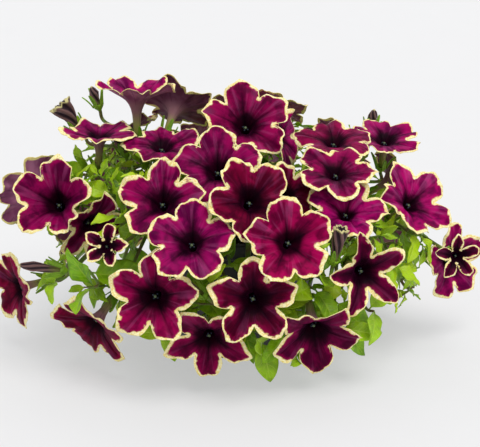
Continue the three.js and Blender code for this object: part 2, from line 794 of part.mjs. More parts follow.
const plant = new THREE.Group();
plant.add(meshOfSolid('pot', pot, potMaterial));
plant.add(meshOfSolid('soil', soil, soilMaterial));
stems.forEach((stem, s) => {
  const whole = Manifold.union([stem.bare, ...stem.leaves]);
  plant.add(meshOfSolid(`stem_${stem.name}`, whole, plantMaterial));
  bloomSolids[s].forEach((solid, i) => plant.add(meshOfSolid(`bloom_${stem.name}_${i + 1}`, solid, petalMaterial)));
});

export default plant;
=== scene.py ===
import math

import bmesh
import bpy
import numpy as np
from mathutils import Matrix, Vector, noise
from mathutils.bvhtree import BVHTree


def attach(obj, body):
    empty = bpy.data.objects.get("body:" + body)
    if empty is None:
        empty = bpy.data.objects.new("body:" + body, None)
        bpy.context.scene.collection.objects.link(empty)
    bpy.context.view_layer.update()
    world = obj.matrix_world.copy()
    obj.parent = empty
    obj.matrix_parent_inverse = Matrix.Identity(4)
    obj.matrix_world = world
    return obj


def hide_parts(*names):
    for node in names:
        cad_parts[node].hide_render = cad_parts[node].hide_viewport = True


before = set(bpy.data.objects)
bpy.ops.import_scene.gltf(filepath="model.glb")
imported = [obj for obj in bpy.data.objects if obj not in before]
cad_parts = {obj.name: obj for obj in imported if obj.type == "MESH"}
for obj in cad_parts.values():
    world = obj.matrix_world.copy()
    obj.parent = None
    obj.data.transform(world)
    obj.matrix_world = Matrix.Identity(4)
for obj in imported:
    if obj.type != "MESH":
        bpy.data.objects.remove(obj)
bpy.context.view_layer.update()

scene = bpy.context.scene
MM = 0.001

# Camera
# It stands a little above the mound and looks at its middle, from far enough back for the flat view of a
# catalogue photograph.
CAMERA_DISTANCE = 1.6
CAMERA_ELEVATION = math.radians(20)
VIEW_HALF_WIDTH = 0.168
VIEW_CENTRE = Vector((0, 0, 0.085))


def aimed(name, data, behind):
    """A camera or a lamp, turned away from the direction that lies behind it."""
    made = bpy.data.objects.new(name, data)
    made.rotation_mode = "QUATERNION"
    made.rotation_quaternion = Vector(behind).to_track_quat("Z", "Y")
    scene.collection.objects.link(made)
    return made


backward = Vector((0, -math.cos(CAMERA_ELEVATION), math.sin(CAMERA_ELEVATION)))
scene.camera = aimed("camera", bpy.data.cameras.new("camera"), backward)
scene.camera.data.angle = 2 * math.atan(VIEW_HALF_WIDTH / CAMERA_DISTANCE)
scene.camera.location = VIEW_CENTRE + CAMERA_DISTANCE * backward

# Pot
# A grower's pot, moulded in one piece from black polypropylene: a tapered wall with a stepped rim band and
# a rolled lip, and five drain holes through its flat base. Its fine grain is dulled by splashes of water.
POT_HEIGHT = 92
POT_RIM_RADIUS = 60
POT_FOOT_RADIUS = 43
POT_WALL = 1.6
BAND_FOOT = 80
RIM_STEP = 1.4
POT_SIDES = 120
DRAIN_HOLES = 5
DRAIN_RADIUS = 4
DRAIN_CIRCLE_RADIUS = 26
DRAIN_SIDES = 24
NEAR_AXIS = 0.001


def add_node(tree, kind, sockets, **settings):
    """Adds a node. A socket given for one of its inputs is linked to it, and another value is set."""
    made = tree.nodes.new("ShaderNode" + kind)
    for name, value in settings.items():
        setattr(made, name, value)
    for name, value in sockets.items():
        if isinstance(value, bpy.types.NodeSocket):
            tree.links.new(value, made.inputs[name])
        else:
            made.inputs[name].default_value = value
    return made


def reckon(tree, operation, *numbers):
    return add_node(tree, "Math", dict(enumerate(numbers)), operation=operation).outputs[0]


def times(tree, first, second):
    return reckon(tree, "MULTIPLY", first, second)


def summed(tree, *terms):
    """The sum of some values, each times its own factor."""
    total = 0.0
    for value, factor in terms:
        total = reckon(tree, "MULTIPLY_ADD", value, factor, total)
    return total


def rising(tree, value, low, high, start=0.0, end=1.0):
    """A smooth step from start to end while the value goes from low to high."""
    sockets = {"Value": value, "From Min": low, "From Max": high, "To Min": start, "To Max": end}
    return add_node(tree, "MapRange", sockets, interpolation_type="SMOOTHSTEP").outputs[0]


def paint(red, green, blue):
    """A colour as it looks on a screen, 0 to 255, turned into amounts of light."""
    def light(level):
        level /= 255
        return level / 12.92 if level <= 0.04045 else ((level + 0.055) / 1.055) ** 2.4
    return (light(red), light(green), light(blue), 1.0)


def blended(tree, share, *colours):
    """A blend of two colours, each a link or red, green and blue as they look on a screen."""
    first, second = (c if isinstance(c, bpy.types.NodeSocket) else paint(*c) for c in colours)
    return add_node(tree, "Mix", {0: share, 6: first, 7: second}, data_type="RGBA").outputs[2]


def coated(tree, colour, *coats):
    """Lays coats over a colour, each with its mask, its strength and its own colour."""
    for mask, strength, coat in coats:
        colour = blended(tree, times(tree, mask, strength), colour, coat)
    return colour


def effect(name, **inputs):
    """An empty group of nodes. Each input has its starting value, three numbers for a place."""
    group = bpy.data.node_groups.new(name, "ShaderNodeTree")
    for socket, start in inputs.items():
        kind = "NodeSocketVector" if isinstance(start, tuple) else "NodeSocketFloat"
        group.interface.new_socket(socket, in_out="INPUT", socket_type=kind).default_value = start
    return group, group.nodes.new("NodeGroupInput").outputs


def give_out(group, **results):
    """Leads results out of a group, each by a name of its own."""
    for name in results:
        group.interface.new_socket(name, in_out="OUTPUT", socket_type="NodeSocketFloat")
    end = group.nodes.new("NodeGroupOutput")
    for name, value in results.items():
        group.links.new(value, end.inputs[name])


def placed(tree, group, sockets):
    return add_node(tree, "Group", sockets, node_tree=group).outputs


def finish_of(name, **own):
    """A material with its Principled shader, whose even values are set on its own sockets."""
    made = bpy.data.materials.new(name)
    made.use_nodes = True
    shader = made.node_tree.nodes["Principled BSDF"]
    for socket, value in own.items():
        shader.inputs[socket.replace("_", " ")].default_value = value
    return made, made.node_tree, shader


def wear(tree, shader, colour, height, strength, distance):
    """Leads a colour and a bump height to the shader."""
    tree.links.new(colour, shader.inputs["Base Color"])
    sockets = {"Strength": strength, "Distance": distance, "Height": height}
    tree.links.new(add_node(tree, "Bump", sockets).outputs[0], shader.inputs["Normal"])


def noisy(tree, place, scale, detail, distortion=0.0):
    sockets = {"Vector": place, "Scale": scale, "Detail": detail, "Distortion": distortion}
    return add_node(tree, "TexNoise", sockets).outputs[0]


grain_effect, grain_in = effect("fine grain", Place=(0, 0, 0), Size=1.0, Detail=3.0)
grain_place = grain_in["Place"]
grain_scale = reckon(grain_effect, "DIVIDE", 1.0, grain_in["Size"])
patch_scale = times(grain_effect, grain_scale, 0.12)
give_out(grain_effect, Grain=noisy(grain_effect, grain_place, grain_scale, grain_in["Detail"]),
         Patches=noisy(grain_effect, grain_place, patch_scale, 3.0, 0.4))


def grain_on(tree, size, detail):
    """The fine grain at its own size on a material."""
    place = add_node(tree, "TexCoord", {}).outputs["Object"]
    return placed(tree, grain_effect, {"Place": place, "Size": size, "Detail": detail})


class Skin:
    """The points, faces and values of one piece, gathered sheet by sheet. Points are in millimetres."""

    def __init__(self):
        self.points, self.faces, self.finishes, self.values = [], [], [], []
        self.count = 0

    def add(self, points, faces, finish=0, **values):
        points = np.asarray(points, float).reshape(-1, 3)
        self.points.append(points)
        self.faces += (np.asarray(faces) + self.count).tolist()
        self.finishes += [finish] * len(faces)
        self.values.append((len(points), values))
        self.count += len(points)

    def piece(self, name, materials, kinds=()):
        mesh = bpy.data.meshes.new(name)
        mesh.from_pydata((np.concatenate(self.points) * MM).tolist(), [], self.faces)
        for material in materials:
            mesh.materials.append(material)
        mesh.polygons.foreach_set("material_index", self.finishes)
        mesh.polygons.foreach_set("use_smooth", [True] * len(self.faces))
        for kind in kinds:
            width, sort, field = (3, "FLOAT_VECTOR", "vector") if kind == "spoke" else (1, "FLOAT", "value")
            rows = [np.broadcast_to(np.reshape(given.get(kind, np.zeros(width)), (-1, width)), (count, width))
                    for count, given in self.values]
            layer = mesh.attributes.new(kind, sort, "POINT")
            layer.data.foreach_set(field, np.concatenate(rows).ravel())
        mesh.validate()
        mesh.update()
        made = bpy.data.objects.new(name, mesh)
        scene.collection.objects.link(made)
        return made


def net(rows, columns, closed):
    """Quads between neighbouring rows of points."""
    across = np.arange(columns if closed else columns - 1)
    after = (across + 1) % columns
    starts = (np.arange(rows - 1) * columns)[:, None]
    quads = [starts + across, starts + after, starts + columns + after, starts + columns + across]
    return np.stack(quads, axis=-1).reshape(-1, 4)


def turned(skin, profile, sides):
    """A profile of radius and height, turned round the Z axis."""
    turns = np.linspace(0, 2 * math.pi, sides, endpoint=False)
    radius, height = np.array(profile, float).T[:, :, None]
    rings = np.broadcast_arrays(radius * np.sin(turns), -radius * np.cos(turns), height)
    skin.add(np.stack(rings, axis=-1), net(len(profile), sides, True))


def pot_wall_radius(z):
    return POT_FOOT_RADIUS + (POT_RIM_RADIUS - RIM_STEP - POT_FOOT_RADIUS) * z / BAND_FOOT


pot_material, tree, shader = finish_of("black polypropylene", Specular_IOR_Level=0.42)
grain = grain_on(tree, 0.0007, 4.0)
tree.links.new(rising(tree, grain["Patches"], 0.35, 0.7, 0.42, 0.66), shader.inputs["Roughness"])
pot_tint = blended(tree, rising(tree, grain["Patches"], 0.52, 0.7), (35, 36, 38), (62, 61, 58))
wear(tree, shader, pot_tint, grain["Grain"], 0.25, 0.0004)

outer_wall = [(pot_wall_radius(z), z) for z in (1.2, 20, 50, 78.6, 79.4)]
inner_wall = [(pot_wall_radius(z) - POT_WALL, z) for z in (79, 40)]
inner_foot = pot_wall_radius(POT_WALL) - POT_WALL
rim_band = [(POT_RIM_RADIUS + out, z) for out, z in (
    (-0.2, 80.3), (0, 81), (0.5, 88.6), (1.1, 89.4), (1.2, 90.6), (0.7, 91.6), (-0.2, POT_HEIGHT),
    (-1.2, 91.7), (-POT_WALL, 90.8), (-POT_WALL - 0.2, 81),
)]
pot_skin = Skin()
turned(pot_skin, [
    (NEAR_AXIS, 0), (POT_FOOT_RADIUS - 1.6, 0), (POT_FOOT_RADIUS - 0.6, 0.2), *outer_wall,
    (pot_wall_radius(BAND_FOOT) + 0.5, 79.8), *rim_band, *inner_wall,
    (inner_foot, 2.6), (inner_foot - 1, POT_WALL), (NEAR_AXIS, POT_WALL),
], POT_SIDES)
pot = pot_skin.piece("pot_shell", [pot_material])
bm = bmesh.new()
for i in range(DRAIN_HOLES):
    turn = 2 * math.pi * i / DRAIN_HOLES
    where = Vector((math.sin(turn), math.cos(turn), 0)) * DRAIN_CIRCLE_RADIUS * MM
    size = DRAIN_RADIUS * MM
    bmesh.ops.create_cone(bm, segments=DRAIN_SIDES, radius1=size, radius2=size, depth=4 * POT_WALL * MM,
                          cap_ends=True, matrix=Matrix.Translation(where))
drill_mesh = bpy.data.meshes.new("drill")
bm.to_mesh(drill_mesh)
bm.free()
drill = bpy.data.objects.new("drill", drill_mesh)
scene.collection.objects.link(drill)
bm = bmesh.new()
bm.from_mesh(pot.data)
bmesh.ops.remove_doubles(bm, verts=bm.verts, dist=0.01 * MM)
bmesh.ops.recalc_face_normals(bm, faces=bm.faces)
bm.to_mesh(pot.data)
bm.free()
cut = pot.modifiers.new("drain holes", "BOOLEAN")
cut.object = drill
cut.operation = "DIFFERENCE"
pot.data = bpy.data.meshes.new_from_object(pot.evaluated_get(bpy.context.evaluated_depsgraph_get()))
pot.modifiers.clear()
bpy.data.objects.remove(drill)
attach(pot, "root")
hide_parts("pot")

# Soil
# Peat and fine bark fill the pot to 9 mm under its lip, with a few white crumbs of perlite. The surface is
# loose and uneven, and the stems stand in it.
SOIL_TOP = 83
SOIL_RADIUS = 57
SOIL_FOOT = 2.2
WALL_GAP = 0.4
SOIL_RINGS = 46
SOIL_SIDES = 110
SOIL_CRUMBS = 260
SOIL_BROW = 50
SOIL_FALL = 1.4
CRUMB_CIRCLE = 53
CRUMBS_A_PERLITE = 9
# A crumb's size, then its breadth and its height as shares of that
CRUMB_SPANS = ((0.6, 1.9), (0.5, 1), (0.4, 0.8))
CRUMB_SEED = 11


def mottled(name, size, detail, mask, dark, light, strength, distance, **own):
    """A rough material, mottled between two colours by a mask that may have a low and a high end."""
    made, tree, shader = finish_of(name, **own)
    grain = grain_on(tree, size, detail)
    share = rising(tree, grain[mask[0]], *mask[1:]) if mask[1:] else grain[mask[0]]
    wear(tree, shader, blended(tree, share, dark, light), grain["Grain"], strength, distance)
    return made


soil_material = mottled("moist potting mix", 0.0012, 6.0, ("Grain", 0.35, 0.65), (34, 24, 17), (74, 54, 38),
                        0.9, 0.0012, Roughness=0.92, Specular_IOR_Level=0.25)
perlite_material = mottled("perlite", 0.0005, 4.0, ("Grain",), (190, 184, 170), (228, 224, 214),
                           0.6, 0.0004, Roughness=0.85, Specular_IOR_Level=0.3)


def soil_ring(radius, z):
    turns = np.linspace(0, 2 * math.pi, SOIL_SIDES, endpoint=False)
    return np.column_stack([radius * np.cos(turns), radius * np.sin(turns), np.full(SOIL_SIDES, z)])


top = np.array([soil_ring(SOIL_RADIUS * share, 0.0) for share in np.linspace(0.004, 1, SOIL_RINGS)])
for point in top.reshape(-1, 3):
    rough = noise.noise(Vector(point) * 0.22) + 0.6 * noise.noise(Vector(point) * 0.75)
    from_brow = math.hypot(point[0], point[1]) - SOIL_BROW
    fall = SOIL_FALL * max(0.0, from_brow / (SOIL_RADIUS - SOIL_BROW))
    point[2] = SOIL_TOP - 0.6 + 1.1 * rough - fall
skirt = [soil_ring(pot_wall_radius(z) - POT_WALL - WALL_GAP, z) for z in (78, 40, SOIL_FOOT)]
rings = np.array([*top, *skirt, soil_ring(0.2, SOIL_FOOT)])
soil_skin = Skin()
soil_skin.add(rings, net(len(rings), SOIL_SIDES, True))
bm = bmesh.new()
bmesh.ops.create_icosphere(bm, subdivisions=2, radius=1)
crumb_points = np.array([v.co[:] for v in bm.verts])
crumb_faces = np.array([[v.index for v in f.verts] for f in bm.faces])
bm.free()
crumb_draws = np.random.default_rng(CRUMB_SEED)
for i in range(SOIL_CRUMBS):
    turn, share = crumb_draws.uniform(0, 2 * math.pi), crumb_draws.uniform(0.02, 1) ** 0.5
    size, breadth, rise = (crumb_draws.uniform(*span) for span in CRUMB_SPANS)
    lumps = 1 + 0.28 * crumb_draws.standard_normal((len(crumb_points), 1)).clip(-1.2, 1.2)
    spin = np.array(Matrix.Rotation(crumb_draws.uniform(0, 6.3), 3, "Z"))
    lump_points = crumb_points * (size * np.array([1, breadth, rise])) * lumps
    out = CRUMB_CIRCLE * share
    where = [out * math.cos(turn), out * math.sin(turn), SOIL_TOP - 0.3]
    soil_skin.add(lump_points @ spin.T + where, crumb_faces, 0 if i % CRUMBS_A_PERLITE else 1)
soil = soil_skin.piece("potting_mix", [soil_material, perlite_material])
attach(soil, "root")
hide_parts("soil")

# Bloom seats
# Every bloom sits in the cup of its own calyx, and its tube and limb are one sheet of five fused petals. A
# column runs from the tube's foot to the rim and follows its slope to the bloom's axis, so a bent lobe keeps
# its length.
LOBES = 5
LOBE_TURN = 72
HALF_LOBE = 36
COLUMN_STEPS = 40
COLUMN_STEP = 1.06 / COLUMN_STEPS
TUBE_FOOT_SHARE = 0.025
MOUTH_SHARE = 0.6
THROAT_SHARE = 0.56
TUBE_FLARE = 4
LIMB_SPREAD = 84
LOBE_SIDE_FALL = 16
RIM_ROLL = 28
LOBE_LIFT = 19
RUFFLE = 12
RUFFLES_ROUND = (5, 8)
ROUND_NOTCH = 3.4
SHARP_NOTCH = 1.5
NOTCH_DEPTHS = (0.08, 0.24)
TIP_LENGTHS = (0.01, 0.06)
YOUNG_BLOOM = 40
YOUNG_NOTCH = 0.36
YOUNG_RUFFLE = 4


def smooth(t):
    c = np.clip(t, 0, 1)
    return c * c * (3 - 2 * c)


def lerp(a, b, t):
    return a + (b - a) * t


def vec(x, y, z):
    return np.array([x, y, z], float)


def draws_from(seed):
    """Seeded draws, so that every build gives the same plant."""
    state = [int(seed) & 0xFFFFFFFF]

    def draw(low, high):
        state[0] = (state[0] * 1664525 + 1013904223) & 0xFFFFFFFF
        return low + (high - low) * state[0] / 4294967296
    return draw


def axes_of(azimuth, elevation, roll):
    a, e, r = (math.radians(v) for v in (azimuth, elevation, roll))
    facing = vec(math.sin(a) * math.cos(e), -math.cos(a) * math.cos(e), math.sin(e))
    side = vec(math.cos(a), math.sin(a), 0)
    upward = np.cross(facing, side)
    along = upward * math.cos(r) + side * math.sin(r)
    across = side * math.cos(r) - upward * math.sin(r)
    return {"facing": facing, "along": along, "across": across}


def bloom_columns(bloom, turns):
    """Where the rim lies on each column, and the column's slope, radius and height step by step."""
    turns = np.asarray(turns, float)
    lobe = np.floor((turns + HALF_LOBE) / LOBE_TURN).astype(int)
    off = turns - LOBE_TURN * lobe
    f = np.abs(off) / HALF_LOBE
    own = bloom["lifts"][lobe % LOBES]
    beside = bloom["lifts"][(lobe + np.where(off > 0, 1, LOBES - 1)) % LOBES]
    lift = lerp(own, beside, 0.5 * smooth((f - 0.2) / 0.8))
    notched = lerp(f ** ROUND_NOTCH, f ** SHARP_NOTCH, bloom["point"]) * bloom["notch"]
    notched = notched + 0.05 * smooth((f - 0.78) / 0.22)
    rim = 1 - notched + bloom["tips"][lobe % LOBES] * np.maximum(0, 1 - f / 0.35)
    wave = np.sin(RUFFLES_ROUND[0] * np.radians(turns) + bloom["phases"][0])
    wave = wave + 0.7 * np.sin(RUFFLES_ROUND[1] * np.radians(turns) + bloom["phases"][1])
    q = ((np.arange(COLUMN_STEPS) + 0.5) * COLUMN_STEP)[:, None]
    limb = np.maximum(0, (q - 0.58) / 0.42)
    slope = TUBE_FLARE + (LIMB_SPREAD - bloom["cup"]) * smooth((q - 0.2) / 0.52) ** 1.2 - lift * limb
    slope = slope + limb ** 2 * (LOBE_SIDE_FALL * smooth(f) + bloom["ruffle"] * wave)
    slope = np.radians(slope + RIM_ROLL * smooth((q - 0.78) / 0.28))
    nought = np.zeros((1, len(turns)))
    radius = TUBE_FOOT_SHARE + COLUMN_STEP * np.concatenate([nought, np.cumsum(np.sin(slope), axis=0)])
    height = COLUMN_STEP * np.concatenate([nought, np.cumsum(np.cos(slope), axis=0)])
    return rim, slope, radius, height, f


def column_points(columns, shares):
    """Radius, height and slope for rows of shares, and how far along its column each point lies."""
    rim, slope, radius, height, _ = columns
    shares = np.asarray(shares, float)[:, None]
    limb = lerp(THROAT_SHARE, rim[None, :], (shares - THROAT_SHARE) / (1 - THROAT_SHARE))
    end = np.where(shares <= THROAT_SHARE, shares, limb)
    cell = np.minimum((end / COLUMN_STEP - 1e-9).astype(int), COLUMN_STEPS - 1)
    rest = end - cell * COLUMN_STEP
    column = np.broadcast_to(np.arange(len(rim)), end.shape)
    tilt = slope[cell, column]
    return radius[cell, column] + np.sin(tilt) * rest, height[cell, column] + np.cos(tilt) * rest, tilt, end


def bloom_from(row, seed):
    x, y, z, azimuth, elevation, roll, across, cup, point = row
    draw = draws_from(seed * 7919 + 13)
    young = across < YOUNG_BLOOM
    bloom = {"cup": cup, "point": point, "notch": YOUNG_NOTCH if young else lerp(*NOTCH_DEPTHS, point),
             "ruffle": YOUNG_RUFFLE if young else RUFFLE, "young": young, "size": across, "seed": seed,
             "lifts": np.array([draw(-LOBE_LIFT, LOBE_LIFT) for _ in range(LOBES)]),
             "phases": [draw(0, 2 * math.pi), draw(0, 2 * math.pi)],
             "tips": np.array([draw(*TIP_LENGTHS) for _ in range(LOBES)]),
             **axes_of(azimuth, elevation, roll)}
    tips = column_points(bloom_columns(bloom, [LOBE_TURN * k for k in range(LOBES)]), [1.0])[0]
    bloom["length"] = across / 2 / tips.max()
    bloom["foot"] = vec(x, y, z) - bloom["facing"] * MOUTH_SHARE * bloom["length"]
    return bloom


def seated(seat, radius, turn, height):
    """Points round a bloom's or bud's axis, from radii, turns in degrees and heights."""
    radius, turn, height = np.broadcast_arrays(radius, np.radians(turn), height)
    out = seat["foot"] + (radius * np.cos(turn))[..., None] * seat["along"]
    return out + (radius * np.sin(turn))[..., None] * seat["across"] + height[..., None] * seat["facing"]


# Leafy stems
# Soft green stems stand in the soil, arch over the lip and branch into thin stalks. Each stalk ends in a
# calyx of five strap-shaped sepals, and broad soft leaves stand along them. All of it is clothed in short
# pale hairs.
ROOT_DEPTH = 14
SEAT_GAP = 0.3
STEM_RADIUS = 2.3
STEM_TIP_RADIUS = 1.5
PEDICEL_RADIUS = 1.25
SHOOT_TIP_RADIUS = 0.9
NECK_LENGTH = 8
MAIN_NECK_LENGTH = 11
KNEE_HEIGHT = 13
RIM_CLEARANCE = 7
CREST_HEIGHT = 10
LOW_NECK_RISE = 12
FIRST_FORK = 3
LEAF_SPACING = 31
LONGEST_LEAF = 40
SHORTEST_LEAF = 24
YOUNG_LEAF = 25
GOLDEN_ANGLE = 137.5
STALK_END_DROP = 4.5
CALYX_DROP = 3
LEAF_TRIES = (0, 45, -45, 90, -90, 135, -135, 180)
LEAFSTALK_SHARE = 0.1
LEAFSTALK_HALF_WIDTH = 0.6
LEAF_END_ROW = 0.96
MATCH = 0.25
SHOOT_LEAVES = ((0.5, 1), (0.8, 0.85), (1, 0.75))
LONG_STALK = 30
STALK_LEAF_SHARE = 0.2
# The calyx cup's radii and heights, from its foot over its lip to its floor
CALYX_CUP = [(1.3, -STALK_END_DROP), (2.0, -3.6), (2.9, -2.6), (3.7, -1.2), (3.9, 0.2), (3.5, 0.5),
             (3.1, -0.4), (2.2, -1.6), (0.1, -2.4)]
SEPAL_LENGTHS = (11, 14)
SEPAL_HALF_WIDTH = 1.55
SEPAL_THICKNESS = 0.5
BUD_STEPS = 24
BUD_MOUTH_STEPS = 8
BUD_TWIST = 150
PLEAT_DEPTH = 0.2
STEM_SEED = 400
SPRIG_SEED = 700
HAIR_LENGTHS = (0.6, 1.3)
HAIR_RADIUS = 0.045

# A bloom is [x, y, z of its mouth, azimuth, elevation, roll, across, cup, point], and the first bloom of a
# stem ends its main axis. A bud is [x, y, z of its foot, azimuth, elevation, length, flare].
# A shoot is [x, y, z of its tip, longest leaf].
LEAFY_STEMS = [
    ("front_left", (-7, -24),
     [[-57, -120, 77, -12, 13, 4, 66, 14, 0.8],
      [-32, -118, 116, -8, 45, 0, 61, 14, 0.3],
      [-21, -113, 43, -4, -15, 38, 62, 16, 1]],
     [[-25, -111, 76, -80, 40, 28, 0]],
     [[-50, -98, 44, 26], [-18, -92, 62, 32], [-8, -86, 86, 28], [2, -90, 46, 34]]),
    ("front_right", (8, -25),
     [[9, -128, 78, 5, 10, 0, 64, 16, 0.9],
      [32, -122, 117, 8, 30, -6, 61, 14, 0.35],
      [50, -110, 47, 10, -28, 30, 67, 22, 0.8]],
     [],
     [[15, -103, 38, 36], [30, -97, 42, 34], [38, -96, 26, 26], [24, -86, 62, 32]]),
    ("front_crown", (-2, -13),
     [[8, -101, 138, 20, 38, -20, 62, 16, 0.3],
      [-15, -56, 145, 0, 50, 0, 64, 14, 0.4],
      [32, -54, 124, 30, 25, 0, 48, 10, 0.3]],
     [],
     []),
    ("left_crown", (-14, -15),
     [[-52, -82, 131, -8, 45, 0, 63, 14, 0.6],
      [-88, -104, 107, -10, 25, 10, 32, 20, 0.4],
      [-53, -25, 153, 10, 80, 0, 58, 6, 0.4]],
     [],
     [[-80, -70, 109, 28]]),
    ("left_low", (-25, 1.5),
     [[-157, -30, 47, -60, -5, 0, 58, 14, 0.4],
      [-101, -76, 37, -38, -32, 0, 64, 16, 0.6]],
     [[-120, -75, 79, -90, 8, 30, 0]],
     [[-101, -85, 70, 40], [-124, -70, 70, 24]]),
    ("left", (-26, -12),
     [[-123, -66, 124, -14, 34, 0, 60, 42, 0.3],
      [-100, -46, 99, 34, -14, 20, 54, 16, 0.6],
      [-141, 0, 110, -150, 20, 0, 66, 12, 0.2]],
     [],
     [[-114, -15, 124, 28], [-92, -40, 117, 26], [-80, -58, 110, 30]]),
    ("left_top", (-14, 2),
     [[-72, 22, 173, 180, 84, 0, 60, 28, 0.6],
      [-97, -7, 155, 180, 87, 0, 58, 8, 0.4],
      [-45, 60, 154, 160, 35, 0, 60, 10, 0.5]],
     [[-112, 29, 144, -100, 52, 26, 2], [-101, 52, 156, -90, 72, 15, 0], [-80, 7, 135, -90, 75, 13, 1]],
     []),
    ("crown", (2, 2),
     [[4, -11, 163, 4, 52, -6, 66, 20, 0.4],
      [32, 20, 143, 75, 15, 0, 54, 12, 0.4],
      [3, 46, 160, 180, 70, 0, 50, 12, 0.3]],
     [],
     []),
    ("right_front", (20, -18),
     [[83, -95, 84, 22, 5, -10, 63, 24, 1.3],
      [71, -65, 119, 5, 62, 20, 60, 8, 0.5]],
     [[62, -100, 96, 60, 78, 26, 1]],
     [[90, -82, 52, 34], [50, -90, 71, 34], [70, -78, 74, 26], [68, -92, 44, 34]]),
    ("right_crown", (14, -5),
     [[65, -44, 140, 8, 68, 30, 58, 8, 0.4],
      [65, -1, 149, 10, 78, 0, 59, 6, 0.4],
      [102, 26, 141, 20, 76, 0, 56, 8, 0.5]],
     [[94, 65, 134, 60, 80, 16, 0]],
     []),
    ("right", (27, -3),
     [[120, -21, 109, 44, 40, 0, 64, 16, 0.5],
      [150, -9, 60, 44, 5, 0, 58, 12, 0.6],
      [148, -50, 79, 14, 10, 0, 34, 24, 0.9]],
     [],
     [[121, -30, 49, 34], [124, -38, 90, 26], [106, -55, 74, 28]]),
    ("back_right", (20, 14),
     [[112, 47, 103, 113, 22, 0, 56, 12, 0.4],
      [112, 64, 50, 120, -3, 0, 58, 12, 0.5],
      [72, 94, 112, 142, 30, 0, 58, 12, 0.2],
      [64, 111, 58, 150, 0, 30, 60, 12, 0.6]],
     [],
     [[92, 62, 30, 36], [110, 25, 40, 32]]),
    ("back", (3, 24),
     [[21, 112, 106, 168, 30, 0, 61, 12, 0.3],
      [-4, 128, 62, 182, 8, 0, 60, 12, 0.5],
      [24, 77, 146, 165, 50, 0, 56, 12, 0.4]],
     [],
     [[28, 98, 28, 36]]),
    ("back_left", (-15, 19),
     [[-91, 89, 96, 226, 20, 0, 60, 12, 0.4],
      [-36, 112, 108, 198, 32, 0, 60, 12, 0.5],
      [-72, 106, 56, 214, -5, 0, 60, 12, 0.5],
      [-118, 58, 62, 243, 10, 0, 60, 12, 0.3],
      [-81, 63, 135, 230, 55, 0, 52, 12, 0.2]],
     [],
     [[-96, 45, 30, 36], [-44, 92, 26, 34]]),
]
STEM, LEAF, SEPAL, BUD, HAIR = range(5)


def line_through(points, steps):
    """A smooth line through points, with so many steps a span."""
    points = [np.asarray(p, float) for p in points]
    held = [2 * points[0] - points[1], *points, 2 * points[-1] - points[-2]]
    line = []
    for k in range(len(points) - 1):
        before, a, b, after = held[k:k + 4]
        leave, arrive = 0.5 * (b - before), 0.5 * (after - a)
        for t in np.arange(steps) / steps:
            line.append(a + leave * t + (3 * (b - a) - 2 * leave - arrive) * t * t
                        + (2 * (a - b) + leave + arrive) * t ** 3)
    return np.array([*line, points[-1]])


def unit(v):
    return v / np.linalg.norm(v)


def distances(points, spot):
    return np.linalg.norm(points - spot, axis=-1)


def main_points(root, seat):
    """The main stem's way: up from its root, over the pot's lip and into the seat of its end bloom."""
    end = seated(seat, 0, 0, -STALK_END_DROP)
    neck = seated(seat, 0, 0, -STALK_END_DROP - MAIN_NECK_LENGTH)
    knee = lerp(root, neck, 0.05)
    knee[2] = SOIL_TOP + KNEE_HEIGHT
    run = math.hypot(neck[0] - root[0], neck[1] - root[1])
    spread = (POT_RIM_RADIUS + RIM_CLEARANCE - math.hypot(root[0], root[1])) / run
    crest = lerp(root, neck, min(0.8, spread) if neck[2] < POT_HEIGHT + LOW_NECK_RISE else 0.5)
    crest[2] = max(lerp(SOIL_TOP, neck[2], 0.72), POT_HEIGHT + CREST_HEIGHT)
    return [root, knee, crest, neck, end]


def side_points(main, end, facing):
    """A side stalk's way, from a little below the nearest point of the main stem to the stalk's end."""
    nearest = FIRST_FORK + int(distances(main, end)[FIRST_FORK:].argmin())
    start = main[max(FIRST_FORK, nearest - 2)]
    neck = end - facing * NECK_LENGTH
    middle = lerp(start, neck, 0.5)
    middle[2] += 0.12 * np.linalg.norm(start - neck)
    return [start, middle, neck, end]


def tube(skin, line, radii, sides, finish, **values):
    """A round tube along a line, closed at both ends."""
    spoke = vec(0.31, 0.87, 0.38)
    turns = np.linspace(0, 2 * math.pi, sides, endpoint=False)
    rings = []
    for i, centre in enumerate(line):
        along = unit(line[min(i + 1, len(line) - 1)] - line[max(i - 1, 0)])
        spoke = unit(spoke - along * spoke.dot(along))
        other = np.cross(along, spoke)
        rings.append(centre + radii[i] * (np.outer(np.cos(turns), spoke) + np.outer(np.sin(turns), other)))
    rings = [np.repeat(line[:1], sides, 0), *rings, np.repeat(line[-1:], sides, 0)]
    skin.add(np.array(rings), net(len(rings), sides, True), finish, **values)


def blade_width(t):
    return np.sin(math.pi * np.clip((t - LEAFSTALK_SHARE) / (1 - LEAFSTALK_SHARE), 0, 1) ** 0.8) ** 0.8


def spot_on(line, share):
    """The point at a share of a line, and the way that the line runs there."""
    at = min(share * (len(line) - 1), len(line) - 1.001)
    i = int(at)
    return lerp(line[i], line[i + 1], at - i), unit(line[i + 1] - line[i])


def leaf_at(spot, turn, tilt, length, draw, narrowness=(0.25, 0.31), droops=(0.12, 0.4)):
    """A leaf on a stem, from its turn round the stem and its tilt away from it in degrees."""
    origin, stemward = spot
    turn, tilt = math.radians(turn), math.radians(tilt)
    outward = unit(origin - vec(0, 0, 0.75 * POT_HEIGHT))
    skyward = unit(outward + vec(0, 0, 0.6))
    first = unit(outward - stemward * outward.dot(stemward))
    second = np.cross(stemward, first)
    along = stemward * math.cos(tilt) + math.sin(tilt) * (first * math.cos(turn) + second * math.sin(turn))
    normal = unit(skyward - along * skyward.dot(along))
    return {"origin": origin, "along": along, "normal": normal, "side": np.cross(along, normal),
            "length": length, "half": length * draw(*narrowness), "droop": draw(*droops),
            "waves": [draw(0, 2 * math.pi), draw(0, 2 * math.pi)]}


